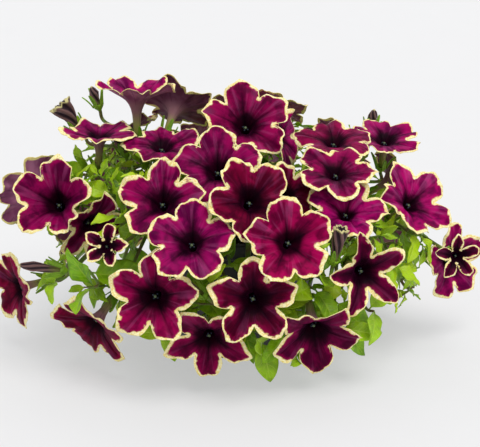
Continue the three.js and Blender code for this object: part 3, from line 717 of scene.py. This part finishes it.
def leaf_places(line, kind, longest):
    """The shares of a line at which leaves stand, each with the leaf's length."""
    total = np.linalg.norm(np.diff(line, axis=0), axis=1).sum()
    if kind == "stalk":
        return [(STALK_LEAF_SHARE, SHORTEST_LEAF + 4)] if total > LONG_STALK else []
    if kind == "shoot":
        return [(share, size * longest) for share, size in SHOOT_LEAVES]
    count = max(1, int(0.5 * total // LEAF_SPACING))
    return [(lerp(0.42, 0.92, i / count), lerp(longest, SHORTEST_LEAF, i / count)) for i in range(count + 1)]


def leaf_choices(line, share, length, number, seed):
    """The places that a leaf may take, each drawn anew from the same seed."""
    for size in (1, 0.75):
        for shift in LEAF_TRIES:
            draw = draws_from(seed * 104729 + number * 31 + 7)
            turn = GOLDEN_ANGLE * number + shift + draw(-15, 15)
            tilt = draw(25, 50) if share >= 1 else draw(48, 75)
            yield leaf_at(spot_on(line, share), turn, tilt, length * size, draw)


def leaf_points(leaf, t, s, depth):
    """Points of the blade: t runs from root to tip, and s from -1 at one edge to 1 at the other."""
    width = np.maximum(np.where(t < 0.3, LEAFSTALK_HALF_WIDTH, 0), leaf["half"] * blade_width(t))
    wave = 0.3 * np.sin(9 * t + np.where(s > 0, leaf["waves"][1], leaf["waves"][0]))
    rise = -leaf["droop"] * leaf["length"] * t * t + np.abs(s) * width * (0.28 + wave)
    lean = 2 * leaf["droop"] * t
    slant = np.hypot(1, lean)
    out = leaf["origin"] + (t * leaf["length"] - depth * lean / slant)[..., None] * leaf["along"]
    return out + (rise - depth / slant)[..., None] * leaf["normal"] + (s * width)[..., None] * leaf["side"]


LEAF_ROWS = np.array([0, 0.05, 0.09, 0.12, 0.15, 0.19, 0.24, 0.3, 0.37, 0.45, 0.53, 0.61, 0.69, 0.76, 0.82,
                      0.88, 0.925, 0.96, 0.985, 0.998])
LEAF_COLUMNS = np.array([-1, -0.86, -0.64, -0.4, -0.18, -0.05, 0.05, 0.18, 0.4, 0.64, 0.86, 1])


def add_thin(skin, sheets, t, s, finish, **values):
    """A thin sheet from its upper and its under side, with walls round its edge."""
    rows, columns = t.shape
    count = rows * columns
    side = net(rows, columns, False)
    edge = [*range(0, count, columns), *range(count - columns + 1, count),
            *range(count - columns - 1, 0, -columns), *range(columns - 2, 0, -1)]
    walls = [[a, b, b + count, a + count] for a, b in zip(edge, edge[1:] + edge[:1])]
    skin.add(np.array(sheets), np.concatenate([side, side[:, ::-1] + count, walls]), finish,
             along=np.tile(t.ravel(), 2), across=np.tile(s.ravel(), 2), **values)


def add_leaf(skin, leaf, line, tone, rows=LEAF_ROWS, columns=LEAF_COLUMNS, pucker=0.22):
    """A soft blade with its two faces, puckered between the side veins and frilled a little at its edge."""
    t, s = np.meshgrid(rows, columns, indexing="ij")
    nearest = line[distances(line, leaf["origin"]).argmin()]
    shift = (nearest - leaf["origin"]) * (1 - smooth(t / 0.25))[..., None]
    raised = np.sin(2 * math.pi * (7 * t - 1.5 * np.abs(s))) * np.sin(math.pi * np.abs(s)) * smooth(t / 0.2)
    frill = 0.45 * np.abs(s) ** 5 * np.sin(23 * t + leaf["waves"][0]) * smooth((t - 0.15) / 0.15)
    relief = (pucker * raised + frill)[..., None] * leaf["normal"]
    thick = 0.5 * (1 - 0.75 * np.abs(s) ** 4)
    sheets = [leaf_points(leaf, t, s, depth) + relief + shift for depth in (0 * t, thick)]
    add_thin(skin, sheets, t, s, LEAF, tone=tone, back=np.repeat([0.0, 1.0], t.size))


def add_calyx(skin, seat, draw, tone):
    """A cup that runs out into five narrow blunt sepals."""
    turns = np.arange(0, 360, 18)
    points = np.array([seated(seat, radius, turns, height) for radius, height in CALYX_CUP])
    skin.add(points, net(len(CALYX_CUP), len(turns), True), SEPAL, along=0.2, across=0.5, tone=tone)
    u, s = np.meshgrid(np.linspace(0, 1, 11), np.linspace(-1, 1, 5), indexing="ij")
    for k in range(LOBES):
        turn = LOBE_TURN * k + HALF_LOBE + draw(-7, 7)
        long, curl, lean = draw(*SEPAL_LENGTHS), draw(-2.0, 1.6), draw(-2.5, 2.5)
        radius = 3.3 + 4.6 * u ** 1.3 + curl * u ** 3
        height = -1.4 + long * u - 1.3 * u * u
        width = SEPAL_HALF_WIDTH * np.sin(math.pi * (0.16 + 0.8 * u)) ** 0.55
        sideways = seated(seat, 1, turn + 90, 0) - seat["foot"]
        lean_out = (s * width + lean * u * u)[..., None] * sideways
        sheets = [seated(seat, radius + depth + 0.35 * s * s, turn, height) + lean_out
                  for depth in (0, SEPAL_THICKNESS)]
        add_thin(skin, sheets, u, s, SEPAL, tone=tone)


def add_bud(skin, bud):
    """A folded, twisted limb with five pleats, closed to a tip or opened to a small frilled mouth."""
    length, flare = bud["length"], bud["flare"]
    mouth = np.linspace(0.98, 0.6, BUD_MOUTH_STEPS) if flare else []
    shares = np.concatenate([np.linspace(0, 1, BUD_STEPS) ** 0.9, mouth])
    inside = np.arange(len(shares)) >= BUD_STEPS
    radius = np.interp(shares, [0, 0.3, 0.68, 0.9, 1.0],
                       [1.4, 2.2, 3.1 + flare, 1.9 + 2.4 * flare, 1.9 + 2.9 * flare if flare else 0.25])
    radius = np.where(inside, radius * np.linspace(1, 0.12, len(shares)), radius)
    turns = np.arange(0, 360, 7.5)
    twist = BUD_TWIST * shares[:, None] ** 1.5
    fold = np.cos(np.radians(LOBES * (turns[None, :] - 0.4 * twist)))
    pleat = PLEAT_DEPTH * smooth(shares / 0.35)[:, None] * fold
    frill = 0.5 * flare * smooth((shares - 0.7) / 0.3)[:, None] * np.sin(np.radians(9 * turns))[None, :]
    top = 0.9 * length if flare else 0.96 * length
    height = lerp(-CALYX_DROP, top, shares)[:, None] + frill
    points = seated(bud, radius[:, None] * (1 + pleat) + 0.2 * frill, turns[None, :] + 0.3 * twist, height)
    caps = np.repeat(points[-1].mean(0)[None, None], len(turns), 1)
    points = np.concatenate([points, caps])
    along = np.repeat([*shares, shares[-1]], len(turns))
    pleats = np.concatenate([pleat, pleat[-1:]]).ravel() / PLEAT_DEPTH
    back = np.repeat([*(1.0 - inside), 1.0 - inside[-1]], len(turns))
    skin.add(points, net(len(points), len(turns), True)[:, ::-1], BUD, along=along, across=pleats, back=back,
             tone=0.5 * (flare > 0))


def add_hairs(skin, roots, outward, draws):
    """Short pale hairs, each a slim spike of three faces."""
    for root, out in zip(roots, outward):
        away = unit(out + 0.5 * draws.standard_normal(3))
        side = unit(np.cross(away, vec(0.3, 0.5, 0.8)))
        other = np.cross(away, side)
        tip = root + away * draws.uniform(*HAIR_LENGTHS)
        foot = [root + HAIR_RADIUS * (side * math.cos(a) + other * math.sin(a)) for a in (0, 2.1, 4.2)]
        skin.add([*foot, tip], [[0, 1, 3], [1, 2, 3], [2, 0, 3]], HAIR)


leaf_veins, vein_in = effect("leaf veins", Along=0.0, Across=0.0)
from_rib = reckon(leaf_veins, "ABSOLUTE", vein_in["Across"])
off_vein = reckon(leaf_veins, "PINGPONG", summed(leaf_veins, (vein_in["Along"], 7.0), (from_rib, -1.5)), 0.5)
rib, off_rib = rising(leaf_veins, from_rib, 0.10, 0.02), rising(leaf_veins, from_rib, 1.0, 0.5)
side_vein = times(leaf_veins, rising(leaf_veins, off_vein, 0.13, 0.02), off_rib)
all_veins = reckon(leaf_veins, "MAXIMUM", rib, times(leaf_veins, side_vein, 0.75))
give_out(leaf_veins, Veins=all_veins)


def value_of(tree, name, socket="Fac"):
    settings = {"attribute_name": name, "attribute_type": "GEOMETRY"}
    return add_node(tree, "Attribute", {}, **settings).outputs[socket]


def green_finish(name, dark, light, young, vein, under, roughness):
    """A soft green skin with paler veins, which grows lighter in young leaves and greyer underneath."""
    made, tree, shader = finish_of(
        name, Roughness=roughness, Specular_IOR_Level=0.35, Sheen_Weight=0.06, Sheen_Roughness=0.45,
        Sheen_Tint=paint(205, 225, 160), Subsurface_Weight=0.12, Subsurface_Scale=0.004,
        Subsurface_Radius=(0.5, 1.0, 0.15),
    )
    grain = grain_on(tree, 0.0011, 5.0)
    veins = placed(tree, leaf_veins, {"Along": value_of(tree, "along"), "Across": value_of(tree, "across")})
    colour = coated(
        tree, blended(tree, rising(tree, grain["Patches"], 0.35, 0.65), dark, light),
        (value_of(tree, "tone"), 0.8, young), (grain["Grain"], 0.22, dark),
        (veins["Veins"], 0.4, vein), (value_of(tree, "back"), 0.6, under),
    )
    wear(tree, shader, colour, summed(tree, (veins["Veins"], -0.8), (grain["Grain"], 0.35)), 0.5, 0.0006)
    return made


leaf_material = green_finish("petunia leaf", (82, 132, 0), (140, 196, 0), (200, 230, 26), (190, 216, 70),
                             (138, 176, 40), 0.4)
sepal_material = green_finish("petunia sepal", (84, 124, 12), (126, 170, 24), (150, 190, 36), (166, 196, 76),
                              (132, 166, 60), 0.5)
stem_material = mottled("petunia stem", 0.0009, 4.0, ("Patches", 0.4, 0.68), (104, 138, 46), (112, 92, 58),
                        0.4, 0.0004, Roughness=0.55, Specular_IOR_Level=0.25, Sheen_Weight=0.2,
                        Sheen_Roughness=0.5, Sheen_Tint=paint(215, 225, 185))

bud_material, tree, shader = finish_of("petunia bud", Roughness=0.55, Specular_IOR_Level=0.2,
                                       Sheen_Weight=0.2, Sheen_Roughness=0.45,
                                       Sheen_Tint=paint(200, 180, 190))
bud_along = value_of(tree, "along")
bud_tint = coated(
    tree, (36, 16, 28),
    (rising(tree, value_of(tree, "across"), -0.6, 0.7), 1.0, (112, 82, 80)),
    (rising(tree, bud_along, 0.42, 0.1), 1.0, (134, 134, 68)),
    (rising(tree, bud_along, 0.93, 1.0), 1.0, (214, 204, 142)),
    (rising(tree, value_of(tree, "back"), 0.6, 0.4), 1.0, (34, 6, 22)),
)
wear(tree, shader, bud_tint, grain_on(tree, 0.0008, 4.0)["Grain"], 0.4, 0.0004)

hair_material, tree, shader = finish_of("plant hair", Roughness=0.5, Specular_IOR_Level=0.4)
hair_tint = blended(tree, grain_on(tree, 0.002, 2.0)["Patches"], (196, 214, 150), (226, 232, 196))
tree.links.new(hair_tint, shader.inputs["Base Color"])

# Sprigs are short young shoots with small narrow leaves. They fill the room that the large leaves and the
# blooms leave.
SPRIG_TRIES = 150
SPRIGS_A_STEM = 9
SPRIG_LENGTHS = (14, 34)
SPRIG_RADII = (0.85, 0.5)
SMALL_LEAF_LENGTHS = (9, 20)
SMALL_LEAF_TRIES = (0, 70, -70, 140)
SMALL_LEAF_NARROWNESS = (0.16, 0.26)
SMALL_LEAF_DROOPS = (0.0, 0.3)
FEWEST_LEAVES = 4
SPRIG_SHARES = (0.3, 0.45, 0.6, 0.74, 0.87, 0.97, 1.0)
SPRIG_ROWS = LEAF_ROWS[[0, 1, 3, 5, 7, 9, 11, 13, 15, 17, 19]]
SPRIG_COLUMNS = LEAF_COLUMNS[[0, 2, 4, 7, 9, 11]]
LOWEST_SPRIG = 22
HIGHEST_SPRIG = 142
WIDEST_SPRIG = 136
FACE_VIEW = 60
SOLID_GAP = 2.0
LEAF_GAP = 1.5
OPEN_FACE = 0.5
solid_points, solid_faces = [], []
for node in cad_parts.values():
    start = len(solid_points)
    solid_points += [vertex.co / MM for vertex in node.data.vertices]
    solid_faces += [[start + i for i in face.vertices] for face in node.data.polygons]
solid_tree = BVHTree.FromPolygons(solid_points, solid_faces)
crowd = []


def has_room(points):
    """Whether points are clear of the solids, of the leaves set so far and of the blooms' open faces."""
    low, high = points[:, 2].min(), points[:, 2].max()
    if low < LOWEST_SPRIG or high > HIGHEST_SPRIG or np.hypot(*points[:, :2].T).max() > WIDEST_SPRIG:
        return False
    for bloom in blooms.values():
        from_foot = points - bloom["foot"]
        height = from_foot @ bloom["facing"]
        aside = distances(from_foot, height[:, None] * bloom["facing"])
        over = (height > 0.8 * MOUTH_SHARE * bloom["length"]) & (height < bloom["length"] + FACE_VIEW)
        if (over & (aside < OPEN_FACE * bloom["size"])).any():
            return False
    if any(solid_tree.find_nearest(Vector(point), SOLID_GAP)[0] is not None for point in points):
        return False
    return not crowd or distances(points[:, None], np.concatenate(crowd)).min() > LEAF_GAP


def leaves_with_room(line, shares, lengths, draws):
    """A leaf at each share of a line where there is room for one, with the points that it takes up."""
    found = []
    for k, (share, length) in enumerate(zip(shares, lengths)):
        start_turn = GOLDEN_ANGLE * k + draws.uniform(-20, 20)
        tilt = draws.uniform(18, 40) if share >= 1 else draws.uniform(45, 75)
        for shift in SMALL_LEAF_TRIES:
            leaf = leaf_at(spot_on(line, share), start_turn + shift, tilt, length, draws.uniform,
                           SMALL_LEAF_NARROWNESS, SMALL_LEAF_DROOPS)
            t, s = np.meshgrid(np.linspace(0.3, 1, 6), (-1, 0, 1), indexing="ij")
            points = leaf_points(leaf, t, s, 0 * t).reshape(-1, 3)
            if has_room(points):
                found.append((leaf, points))
                break
    return found


def add_sprigs(skin, lines, draws):
    grown = 0
    for _ in range(SPRIG_TRIES):
        fine = lines[int(draws.integers(len(lines)))]
        at = fine[int(draws.integers(len(fine) // 4, len(fine) - 2))]
        outward = unit(at - vec(0, 0, 0.6 * POT_HEIGHT))
        towards = unit(outward + 0.7 * draws.standard_normal(3) + vec(0, 0, 0.2))
        long = draws.uniform(*SPRIG_LENGTHS)
        bend = at + 0.5 * long * towards + 0.08 * long * draws.standard_normal(3)
        line = line_through([at, bend, at + long * towards], 5)
        if grown == SPRIGS_A_STEM or not has_room(line[3:]):
            continue
        lengths = draws.uniform(*SMALL_LEAF_LENGTHS, len(SPRIG_SHARES))
        found = leaves_with_room(line, SPRIG_SHARES, lengths, draws)
        if len(found) < FEWEST_LEAVES:
            continue
        tube(skin, line, np.linspace(*SPRIG_RADII, len(line)), 7, STEM, tone=0.5)
        for leaf, points in found:
            tone = draws.uniform(0.3, 1.0)
            add_leaf(skin, leaf, leaf["origin"][None], tone, SPRIG_ROWS, SPRIG_COLUMNS, 0.0)
            crowd.append(points)
        crowd.append(line[3:])
        grown += 1


STEM_VALUES = ("along", "across", "tone", "back")
STEM_FINE_STEPS = 7
SIDE_FINE_STEPS = 9
HAIRS_A_STALK = 26
HAIRS_A_STEM = 78
HAIR_CIRCLE = 0.95
HAIRY_STEM_RADIUS = 1.6
blooms = {}
for stem_name, _, bloom_rows, _, _ in LEAFY_STEMS:
    for place, row in enumerate(bloom_rows, 1):
        blooms[f"{stem_name}_{place}"] = bloom_from(row, len(blooms) + 1)
for order, (stem_name, stem_root, bloom_rows, bud_rows, shoot_rows) in enumerate(LEAFY_STEMS):
    own_blooms = [blooms[f"{stem_name}_{place}"] for place in range(1, len(bloom_rows) + 1)]
    buds = [{"foot": vec(*row[:3]), "length": row[5], "flare": row[6], **axes_of(row[3], row[4], 0)}
            for row in bud_rows]
    root = vec(*stem_root, SOIL_TOP)
    foot = vec(*stem_root, SOIL_TOP - ROOT_DEPTH + SEAT_GAP)
    spine = main_points(root, own_blooms[0])
    main = np.array([foot, *line_through(spine, 2)])
    fine_main = np.array([foot, *line_through(spine, STEM_FINE_STEPS)])
    seats = [*own_blooms[1:], *buds]
    ends = [(seated(seat, 0, 0, -STALK_END_DROP), seat["facing"], "stalk", None) for seat in seats]
    ends += [(vec(*row[:3]), unit(vec(row[0], row[1], -20)), "shoot", row[3]) for row in shoot_rows]

    skin = Skin()
    draws = np.random.default_rng(STEM_SEED + order)
    tube(skin, fine_main, np.linspace(STEM_RADIUS, STEM_TIP_RADIUS, len(fine_main)), 12, STEM)
    lines = [(main, fine_main, "main", LONGEST_LEAF)]
    for end, facing, kind, longest in ends:
        spine = side_points(main, end, facing)
        fine = line_through(spine, SIDE_FINE_STEPS)
        lines.append((np.array(spine), fine, kind, longest))
        tip_radius = PEDICEL_RADIUS if kind == "stalk" else SHOOT_TIP_RADIUS
        tube(skin, fine, np.linspace(PEDICEL_RADIUS, tip_radius, len(fine)), 10, STEM)
    for seat in (own_blooms[0], *seats):
        seed_draw = draws_from(int(abs(seat["foot"]).sum() * 1000))
        add_calyx(skin, seat, seed_draw, seed_draw(0.1, 0.7))
    for bud in buds:
        add_bud(skin, bud)

    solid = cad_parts[f"stem_{stem_name}"].data
    corners = np.array([vertex.co[:] for vertex in solid.vertices]) / MM
    number = 0
    for line, fine, kind, longest in lines:
        for share, length in leaf_places(line, kind, longest):
            for leaf in leaf_choices(line, share, length, number, order + 1):
                tip = leaf_points(leaf, np.full(2, LEAF_END_ROW), np.array([-1.0, 1.0]), np.zeros(2))
                if all(distances(corners, corner).min() < MATCH for corner in tip):
                    young = leaf["length"] < YOUNG_LEAF
                    add_leaf(skin, leaf, fine, draws.uniform(0, 0.6) + 0.4 * young)
                    break
            number += 1
    add_sprigs(skin, [fine for _, fine, _, _ in lines], np.random.default_rng(SPRIG_SEED + order))
    for _, fine, kind, _ in lines:
        thick = kind == "main"
        picks = draws.integers(2, len(fine) - 1, HAIRS_A_STEM if thick else HAIRS_A_STALK)
        radius = HAIRY_STEM_RADIUS if thick else PEDICEL_RADIUS
        out = draws.standard_normal((len(picks), 3))
        along = fine[picks] - fine[picks - 1]
        out -= along * (np.sum(out * along, 1) / np.sum(along * along, 1))[:, None]
        out /= np.linalg.norm(out, axis=1)[:, None]
        roots = fine[picks - 1] + along * draws.uniform(0, 1, (len(picks), 1))
        add_hairs(skin, roots + out * radius * HAIR_CIRCLE, out, draws)
    finishes = [stem_material, leaf_material, sepal_material, bud_material, hair_material]
    leafy = skin.piece(f"leafy_stem_{stem_name}", finishes, STEM_VALUES)
    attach(leafy, "root")
    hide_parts(f"stem_{stem_name}")

# Blooms
# Dark velvety petals fused into a funnel, each edged in cream. The throat is near black, with a star that
# runs out along the midribs, and a green stigma stands among blue-grey anthers deep inside.
COLUMNS_A_LOBE = 20
FULL_BLOOM = 62
PETAL_THICKNESS = (0.75, 0.32)
FRONT_ROWS = [0.05, 0.12, 0.2, 0.28, 0.35, 0.41, 0.46, 0.5, 0.535, 0.56, 0.59, 0.62, 0.65, 0.68, 0.715, 0.75,
              0.785, 0.82, 0.855, 0.885, 0.91, 0.935, 0.955, 0.972, 0.988, 1.0]
BACK_ROWS = [1.0, 0.985, 0.96, 0.93, 0.89, 0.84, 0.78, 0.72, 0.66, 0.6, 0.54, 0.47, 0.4, 0.32, 0.24, 0.16,
             0.08, 0]
BLOOM_VALUES = ("spoke", "rim", "midrib", "back", "tone", "deep", "band")
CREAM_BAND = 2.0
YOUNG_CREAM_BAND = 1.1
STIGMA_SHARE = 0.46
STIGMA_RADIUS = 1.1
STIGMA_HALF_LENGTH = 0.7
ANTHERS = 4
ANTHER_SHARE = 0.42
ANTHER_CIRCLE_RADIUS = 1.6
ANTHER_RADIUS = 0.6
ANTHER_HALF_LENGTH = 0.9
# How red and how deep each of these blooms is, both from 0 to 1: partly the bloom's own colour and partly
# painted shade for blooms that lie in shadow, whose red also stands in for light shining through their petals
BLOOM_TONES_AND_SHADE = {
    "front_left_1": (0.55, 0.4), "front_left_2": (0.1, 0.38), "front_left_3": (0.5, 0.7),
    "front_right_1": (0.85, 0.95), "front_right_2": (0.6, 0.14), "front_right_3": (0.35, 0.8),
    "front_crown_1": (0.85, 0.78), "front_crown_2": (0.2, 0.42), "front_crown_3": (0.9, 0.85),
    "left_crown_1": (0.25, 0.35), "left_crown_2": (0.5, 1.0), "left_crown_3": (0.25, 0.3),
    "left_low_1": (0.9, 0.6), "left_low_2": (0.9, 0.75), "left_1": (0.25, 0.55), "left_2": (0.3, 0.8),
    "left_3": (0.2, 0.1), "left_top_1": (0.1, 0.0), "left_top_3": (0.3, 0.9), "crown_1": (0.4, 0.48),
    "right_front_1": (0.4, 0.95), "right_front_2": (0.1, 0.0),
    "right_crown_1": (0.35, 0.5), "right_crown_2": (0.55, 0.5), "right_1": (0.2, 0.0), "right_3": (0.5, 1.0),
}
# The dark of the throat spreads far out in young blooms and stays deep inside in two pale ones
THROAT_SPREAD = {"left_crown_2": 0.85, "right_3": 0.85, "right_front_2": 1.2, "right_1": 1.12}

streaks, streak_in = effect("petal streaks", Spoke=(0, 0, 0), Tone=0.0)
spoke_x, spoke_y, spoke_out = add_node(streaks, "SeparateXYZ", {0: streak_in["Spoke"]}).outputs
rays = {}
for name, round_size, out_size in (("Fine", 17.0, 2.4), ("Streaks", 5.0, 1.3)):
    outward_part = summed(streaks, (spoke_out, out_size), (streak_in["Tone"], 37.0))
    spread = [times(streaks, spoke_x, round_size), times(streaks, spoke_y, round_size), outward_part]
    polar = add_node(streaks, "CombineXYZ", dict(enumerate(spread))).outputs[0]
    soft_rays = noisy(streaks, polar, 1.0, 3.0)
    rays[name] = rising(streaks, reckon(streaks, "PINGPONG", times(streaks, soft_rays, 3.0), 0.5), 0.16, 0.0)
# The third result is broad soft pale rays, where a painted sheen highlight is laid on the petals.
give_out(streaks, **rays, Gloss=rising(streaks, soft_rays, 0.5, 0.7))

margin, margin_in = effect("cream margin", Rim=0.0, Band=1.7, Wander=0.5, Jagged=0.5)
band_width = times(margin, margin_in["Band"], rising(margin, margin_in["Wander"], 0.34, 0.66, 0.5, 1.45))
from_rim = summed(margin, (margin_in["Rim"], 1.0), (margin_in["Jagged"], 1.1), (1.0, -0.55))
part_in = reckon(margin, "DIVIDE", from_rim, band_width)
give_out(margin, Margin=rising(margin, part_in, 1.2, 0.8), Blush=rising(margin, part_in, 2.8, 0.9))

petal_material, tree, shader = finish_of(
    "petunia petal", Roughness=0.45, Specular_IOR_Level=0.03, Sheen_Weight=0.07, Sheen_Roughness=0.35,
    Sheen_Tint=paint(240, 60, 180), Subsurface_Weight=0.05, Subsurface_Scale=0.002,
    Subsurface_Radius=(1.0, 0.25, 0.4),
)
tone, deep, midrib, back = (value_of(tree, name) for name in ("tone", "deep", "midrib", "back"))
spoke = value_of(tree, "spoke", "Vector")
reach_out = add_node(tree, "SeparateXYZ", {0: spoke}).outputs[2]
grain = grain_on(tree, 0.0012, 5.0)
ray = placed(tree, streaks, {"Spoke": spoke, "Tone": reckon(tree, "ADD", tone, deep)})
edge = placed(tree, margin, {"Rim": value_of(tree, "rim"), "Band": value_of(tree, "band"),
                             "Wander": grain["Patches"], "Jagged": grain["Grain"]})
patches = rising(tree, grain["Patches"], 0.36, 0.64)
purple = blended(tree, patches, (96, 0, 68), (170, 10, 106))
crimson = blended(tree, patches, (108, 0, 28), (172, 4, 58))
cream = blended(tree, rising(tree, grain["Grain"], 0.35, 0.65), (240, 216, 128), (255, 247, 198))
# Painted sheen: pale rays lighten the petals, less so in the deep-coloured blooms.
painted_sheen = times(tree, ray["Gloss"], rising(tree, deep, 1.0, 0.0, 0.35, 1.0))
fade = rising(tree, reach_out, 0.98, 0.62)
star_reach = summed(tree, (grain["Patches"], 0.16), (reach_out, 1.0))
star = times(tree, rising(tree, midrib, 0.7, 0.0), rising(tree, star_reach, 0.96, 0.66))
# Crimson comes partly from a bloom's own colour and partly as painted light shining through shaded petals.
front_tint = coated(
    tree, blended(tree, tone, purple, crimson),
    # Painted shade together with the bloom's own deep colour darkens the blooms that lie in shadow.
    (deep, 0.84, (48, 0, 24)),
    (edge["Blush"], 0.35, (168, 4, 82)),
    (ray["Fine"], 0.25, (60, 0, 42)),
    (painted_sheen, 0.4, (190, 82, 142)),
    (times(tree, ray["Streaks"], fade), 0.55, (48, 0, 32)),
    (times(tree, rising(tree, midrib, 0.13, 0.01), fade), 0.6, (36, 0, 24)),
    (star, 0.75, (34, 0, 20)),
    (rising(tree, star_reach, 0.78, 0.6), 0.94, (14, 0, 9)),
    (edge["Margin"], 1.0, cream),
)
mauve = blended(tree, rising(tree, grain["Patches"], 0.3, 0.7), (124, 64, 102), (166, 108, 140))
tube_tint = blended(tree, rising(tree, reach_out, 0.08, 0.42), (156, 160, 78), (146, 104, 114))
back_tint = coated(
    tree, mauve,
    # The same painted shade, with the bloom's own depth, darkens the petals' backs.
    (deep, 0.6, (62, 24, 42)),
    (ray["Streaks"], 0.5, (66, 26, 54)),
    (rising(tree, reach_out, 0.66, 0.42), 1.0, coated(tree, tube_tint, (ray["Streaks"], 0.6, (62, 34, 46)))),
    (edge["Margin"], 1.0, (236, 220, 146)),
)
relief = summed(tree, (grain["Grain"], 0.3), (ray["Streaks"], -0.5), (rising(tree, midrib, 0.1, 0.0), -0.7))
wear(tree, shader, blended(tree, back, front_tint, back_tint), relief, 0.45, 0.0007)

# The stigma's green and the anthers' blue-grey are darkened as painted shade of the deep throat.
stigma_material = mottled("stigma", 0.0006, 3.0, ("Grain",), (50, 68, 40), (92, 106, 72), 0.5, 0.0003,
                          Roughness=0.35, Specular_IOR_Level=0.5)
anther_material = mottled("anther", 0.0005, 4.0, ("Grain",), (30, 36, 48), (60, 70, 84), 0.7, 0.0003,
                          Roughness=0.7, Specular_IOR_Level=0.3)


def add_knob(skin, centre, axis, radius, half_length, finish):
    """A small round-ended knob on an axis."""
    shares = np.linspace(0, math.pi, 7)
    line = np.array([centre - axis * half_length * math.cos(t) for t in shares])
    tube(skin, line, radius * np.sin(shares) + 0.02, 10, finish, band=1.0)


for label, bloom in blooms.items():
    draw = draws_from(bloom["seed"] * 331 + 5)
    turns = np.arange(LOBES * COLUMNS_A_LOBE) * (360 / (LOBES * COLUMNS_A_LOBE))
    columns = bloom_columns(bloom, turns)
    phase = [draw(0, 2 * math.pi) for _ in range(8)]
    round_turn = np.radians(turns)
    ragged = 0.013 * np.sin(13 * round_turn + phase[0]) + 0.004 * np.sin(29 * round_turn + phase[1])
    gathers = draw(0.8, 1.5)
    columns = (columns[0] + ragged, *columns[1:])
    skin = Skin()
    sheets = []
    for shares, back_side in ((FRONT_ROWS, 0), (BACK_ROWS, 1)):
        radius, height, tilt, q = column_points(columns, shares)
        limb = np.clip((q - 0.56) / 0.44, 0, 1)
        f = columns[4][None, :]
        frill = 0.85 * np.sin(11 * round_turn + phase[2] + 2 * q) + 0.4 * np.sin(18 * round_turn + phase[3])
        frill = frill + 0.15 * np.sin(31 * round_turn + phase[4])
        crease = np.sin(7 * round_turn + phase[5]) * np.sin(3 * round_turn + phase[6] + 2 * q)
        lift = bloom["size"] / FULL_BLOOM * (
            gathers * limb ** 2 * frill + 1.5 * limb * np.sin(math.pi * f) + 1.7 * limb * crease
            - 1.1 * np.exp(-(f / 0.13) ** 2) * limb * (1.3 - limb)
        )
        inward = back_side * lerp(*PETAL_THICKNESS, smooth(q / 0.9)) - lift
        radius = radius * bloom["length"] + inward * np.cos(tilt)
        height = height * bloom["length"] - inward * np.sin(tilt)
        sheets.append((seated(bloom, radius, turns[None, :], height), q, np.full(q.shape, back_side)))
    rim_line = sheets[0][0][-1]
    points, q, back_sides = (np.concatenate(part) for part in zip(*sheets))
    flat = points.reshape(-1, 3)
    to_rim = distances(flat[:, None], rim_line).min(1)
    round_grid = np.broadcast_to(round_turn, q.shape)
    reach = q * THROAT_SPREAD.get(label, 1.0)
    spoke_values = np.stack([np.cos(round_grid), np.sin(round_grid), reach], -1).reshape(-1, 3)
    tone, depth = BLOOM_TONES_AND_SHADE.get(label, (draw(0.0, 0.5), draw(0.1, 0.6)))
    band = YOUNG_CREAM_BAND if bloom["young"] else CREAM_BAND * draw(0.85, 1.15)
    midribs = np.broadcast_to(columns[4], q.shape).ravel()
    foot_ring = (len(points) - 1) * len(turns)
    faces = net(len(points), len(turns), True)
    skin.add(flat, faces, 0, spoke=spoke_values, rim=to_rim, midrib=midribs,
             back=back_sides.ravel(), tone=tone, deep=depth, band=band)
    for ring, flip in ((0, False), (foot_ring, True)):
        cap = list(range(ring, ring + len(turns)))
        skin.faces.append(cap if flip else cap[::-1])
        skin.finishes.append(0)
    size = bloom["size"] / FULL_BLOOM
    spot = seated(bloom, 0, 0, STIGMA_SHARE * bloom["length"])
    add_knob(skin, spot, bloom["facing"], STIGMA_RADIUS * size, STIGMA_HALF_LENGTH * size, 1)
    for k in range(ANTHERS):
        height = (ANTHER_SHARE + 0.012 * k) * bloom["length"]
        spot = seated(bloom, ANTHER_CIRCLE_RADIUS * size, 90 * k + 30, height)
        add_knob(skin, spot, bloom["facing"], ANTHER_RADIUS * size, ANTHER_HALF_LENGTH * size, 2)
    flower = skin.piece(f"petals_{label}", [petal_material, stigma_material, anther_material], BLOOM_VALUES)
    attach(flower, "root")
    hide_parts(f"bloom_{label}")

# Floor and light
# A plain pale floor that glows a little, like a light table. Soft studio light falls from above and the
# right, and a faint second light comes from behind.
FLOOR_HALF = 6
ROOM_LIGHT = (0.97, 0.985, 1.0, 1.0)
ROOM_STRENGTH = 0.62
floor_material = mottled("pale floor", 0.004, 3.0, ("Patches",), (164, 164, 165), (166, 166, 167),
                         0.05, 0.0003, Roughness=0.8, Specular_IOR_Level=0.1, Emission_Strength=1.0,
                         Emission_Color=(0.45, 0.45, 0.455, 1.0))
floor_skin = Skin()
corners = [(-1, -1, 0), (1, -1, 0), (1, 1, 0), (-1, 1, 0)]
floor_skin.add(np.array(corners) * FLOOR_HALF / MM, [[0, 1, 2, 3]])
floor = floor_skin.piece("floor", [floor_material])

world = bpy.data.worlds.new("studio")
world.use_nodes = True
room = world.node_tree.nodes["Background"].inputs
room[0].default_value = ROOM_LIGHT
room[1].default_value = ROOM_STRENGTH
scene.world = world
for name, behind, softness, power, tint in (
    ("key", (0.28, -0.46, 1.0), 34, 1.8, (1.0, 0.985, 0.96)),
    ("back", (0.2, 0.9, 1.0), 50, 0.35, (0.97, 0.98, 1.0)),
):
    lamp = bpy.data.lights.new(name, "SUN")
    lamp.angle, lamp.energy, lamp.color = math.radians(softness), power, tint
    aimed(name, lamp, behind)
scene.view_settings.view_transform = "Standard"
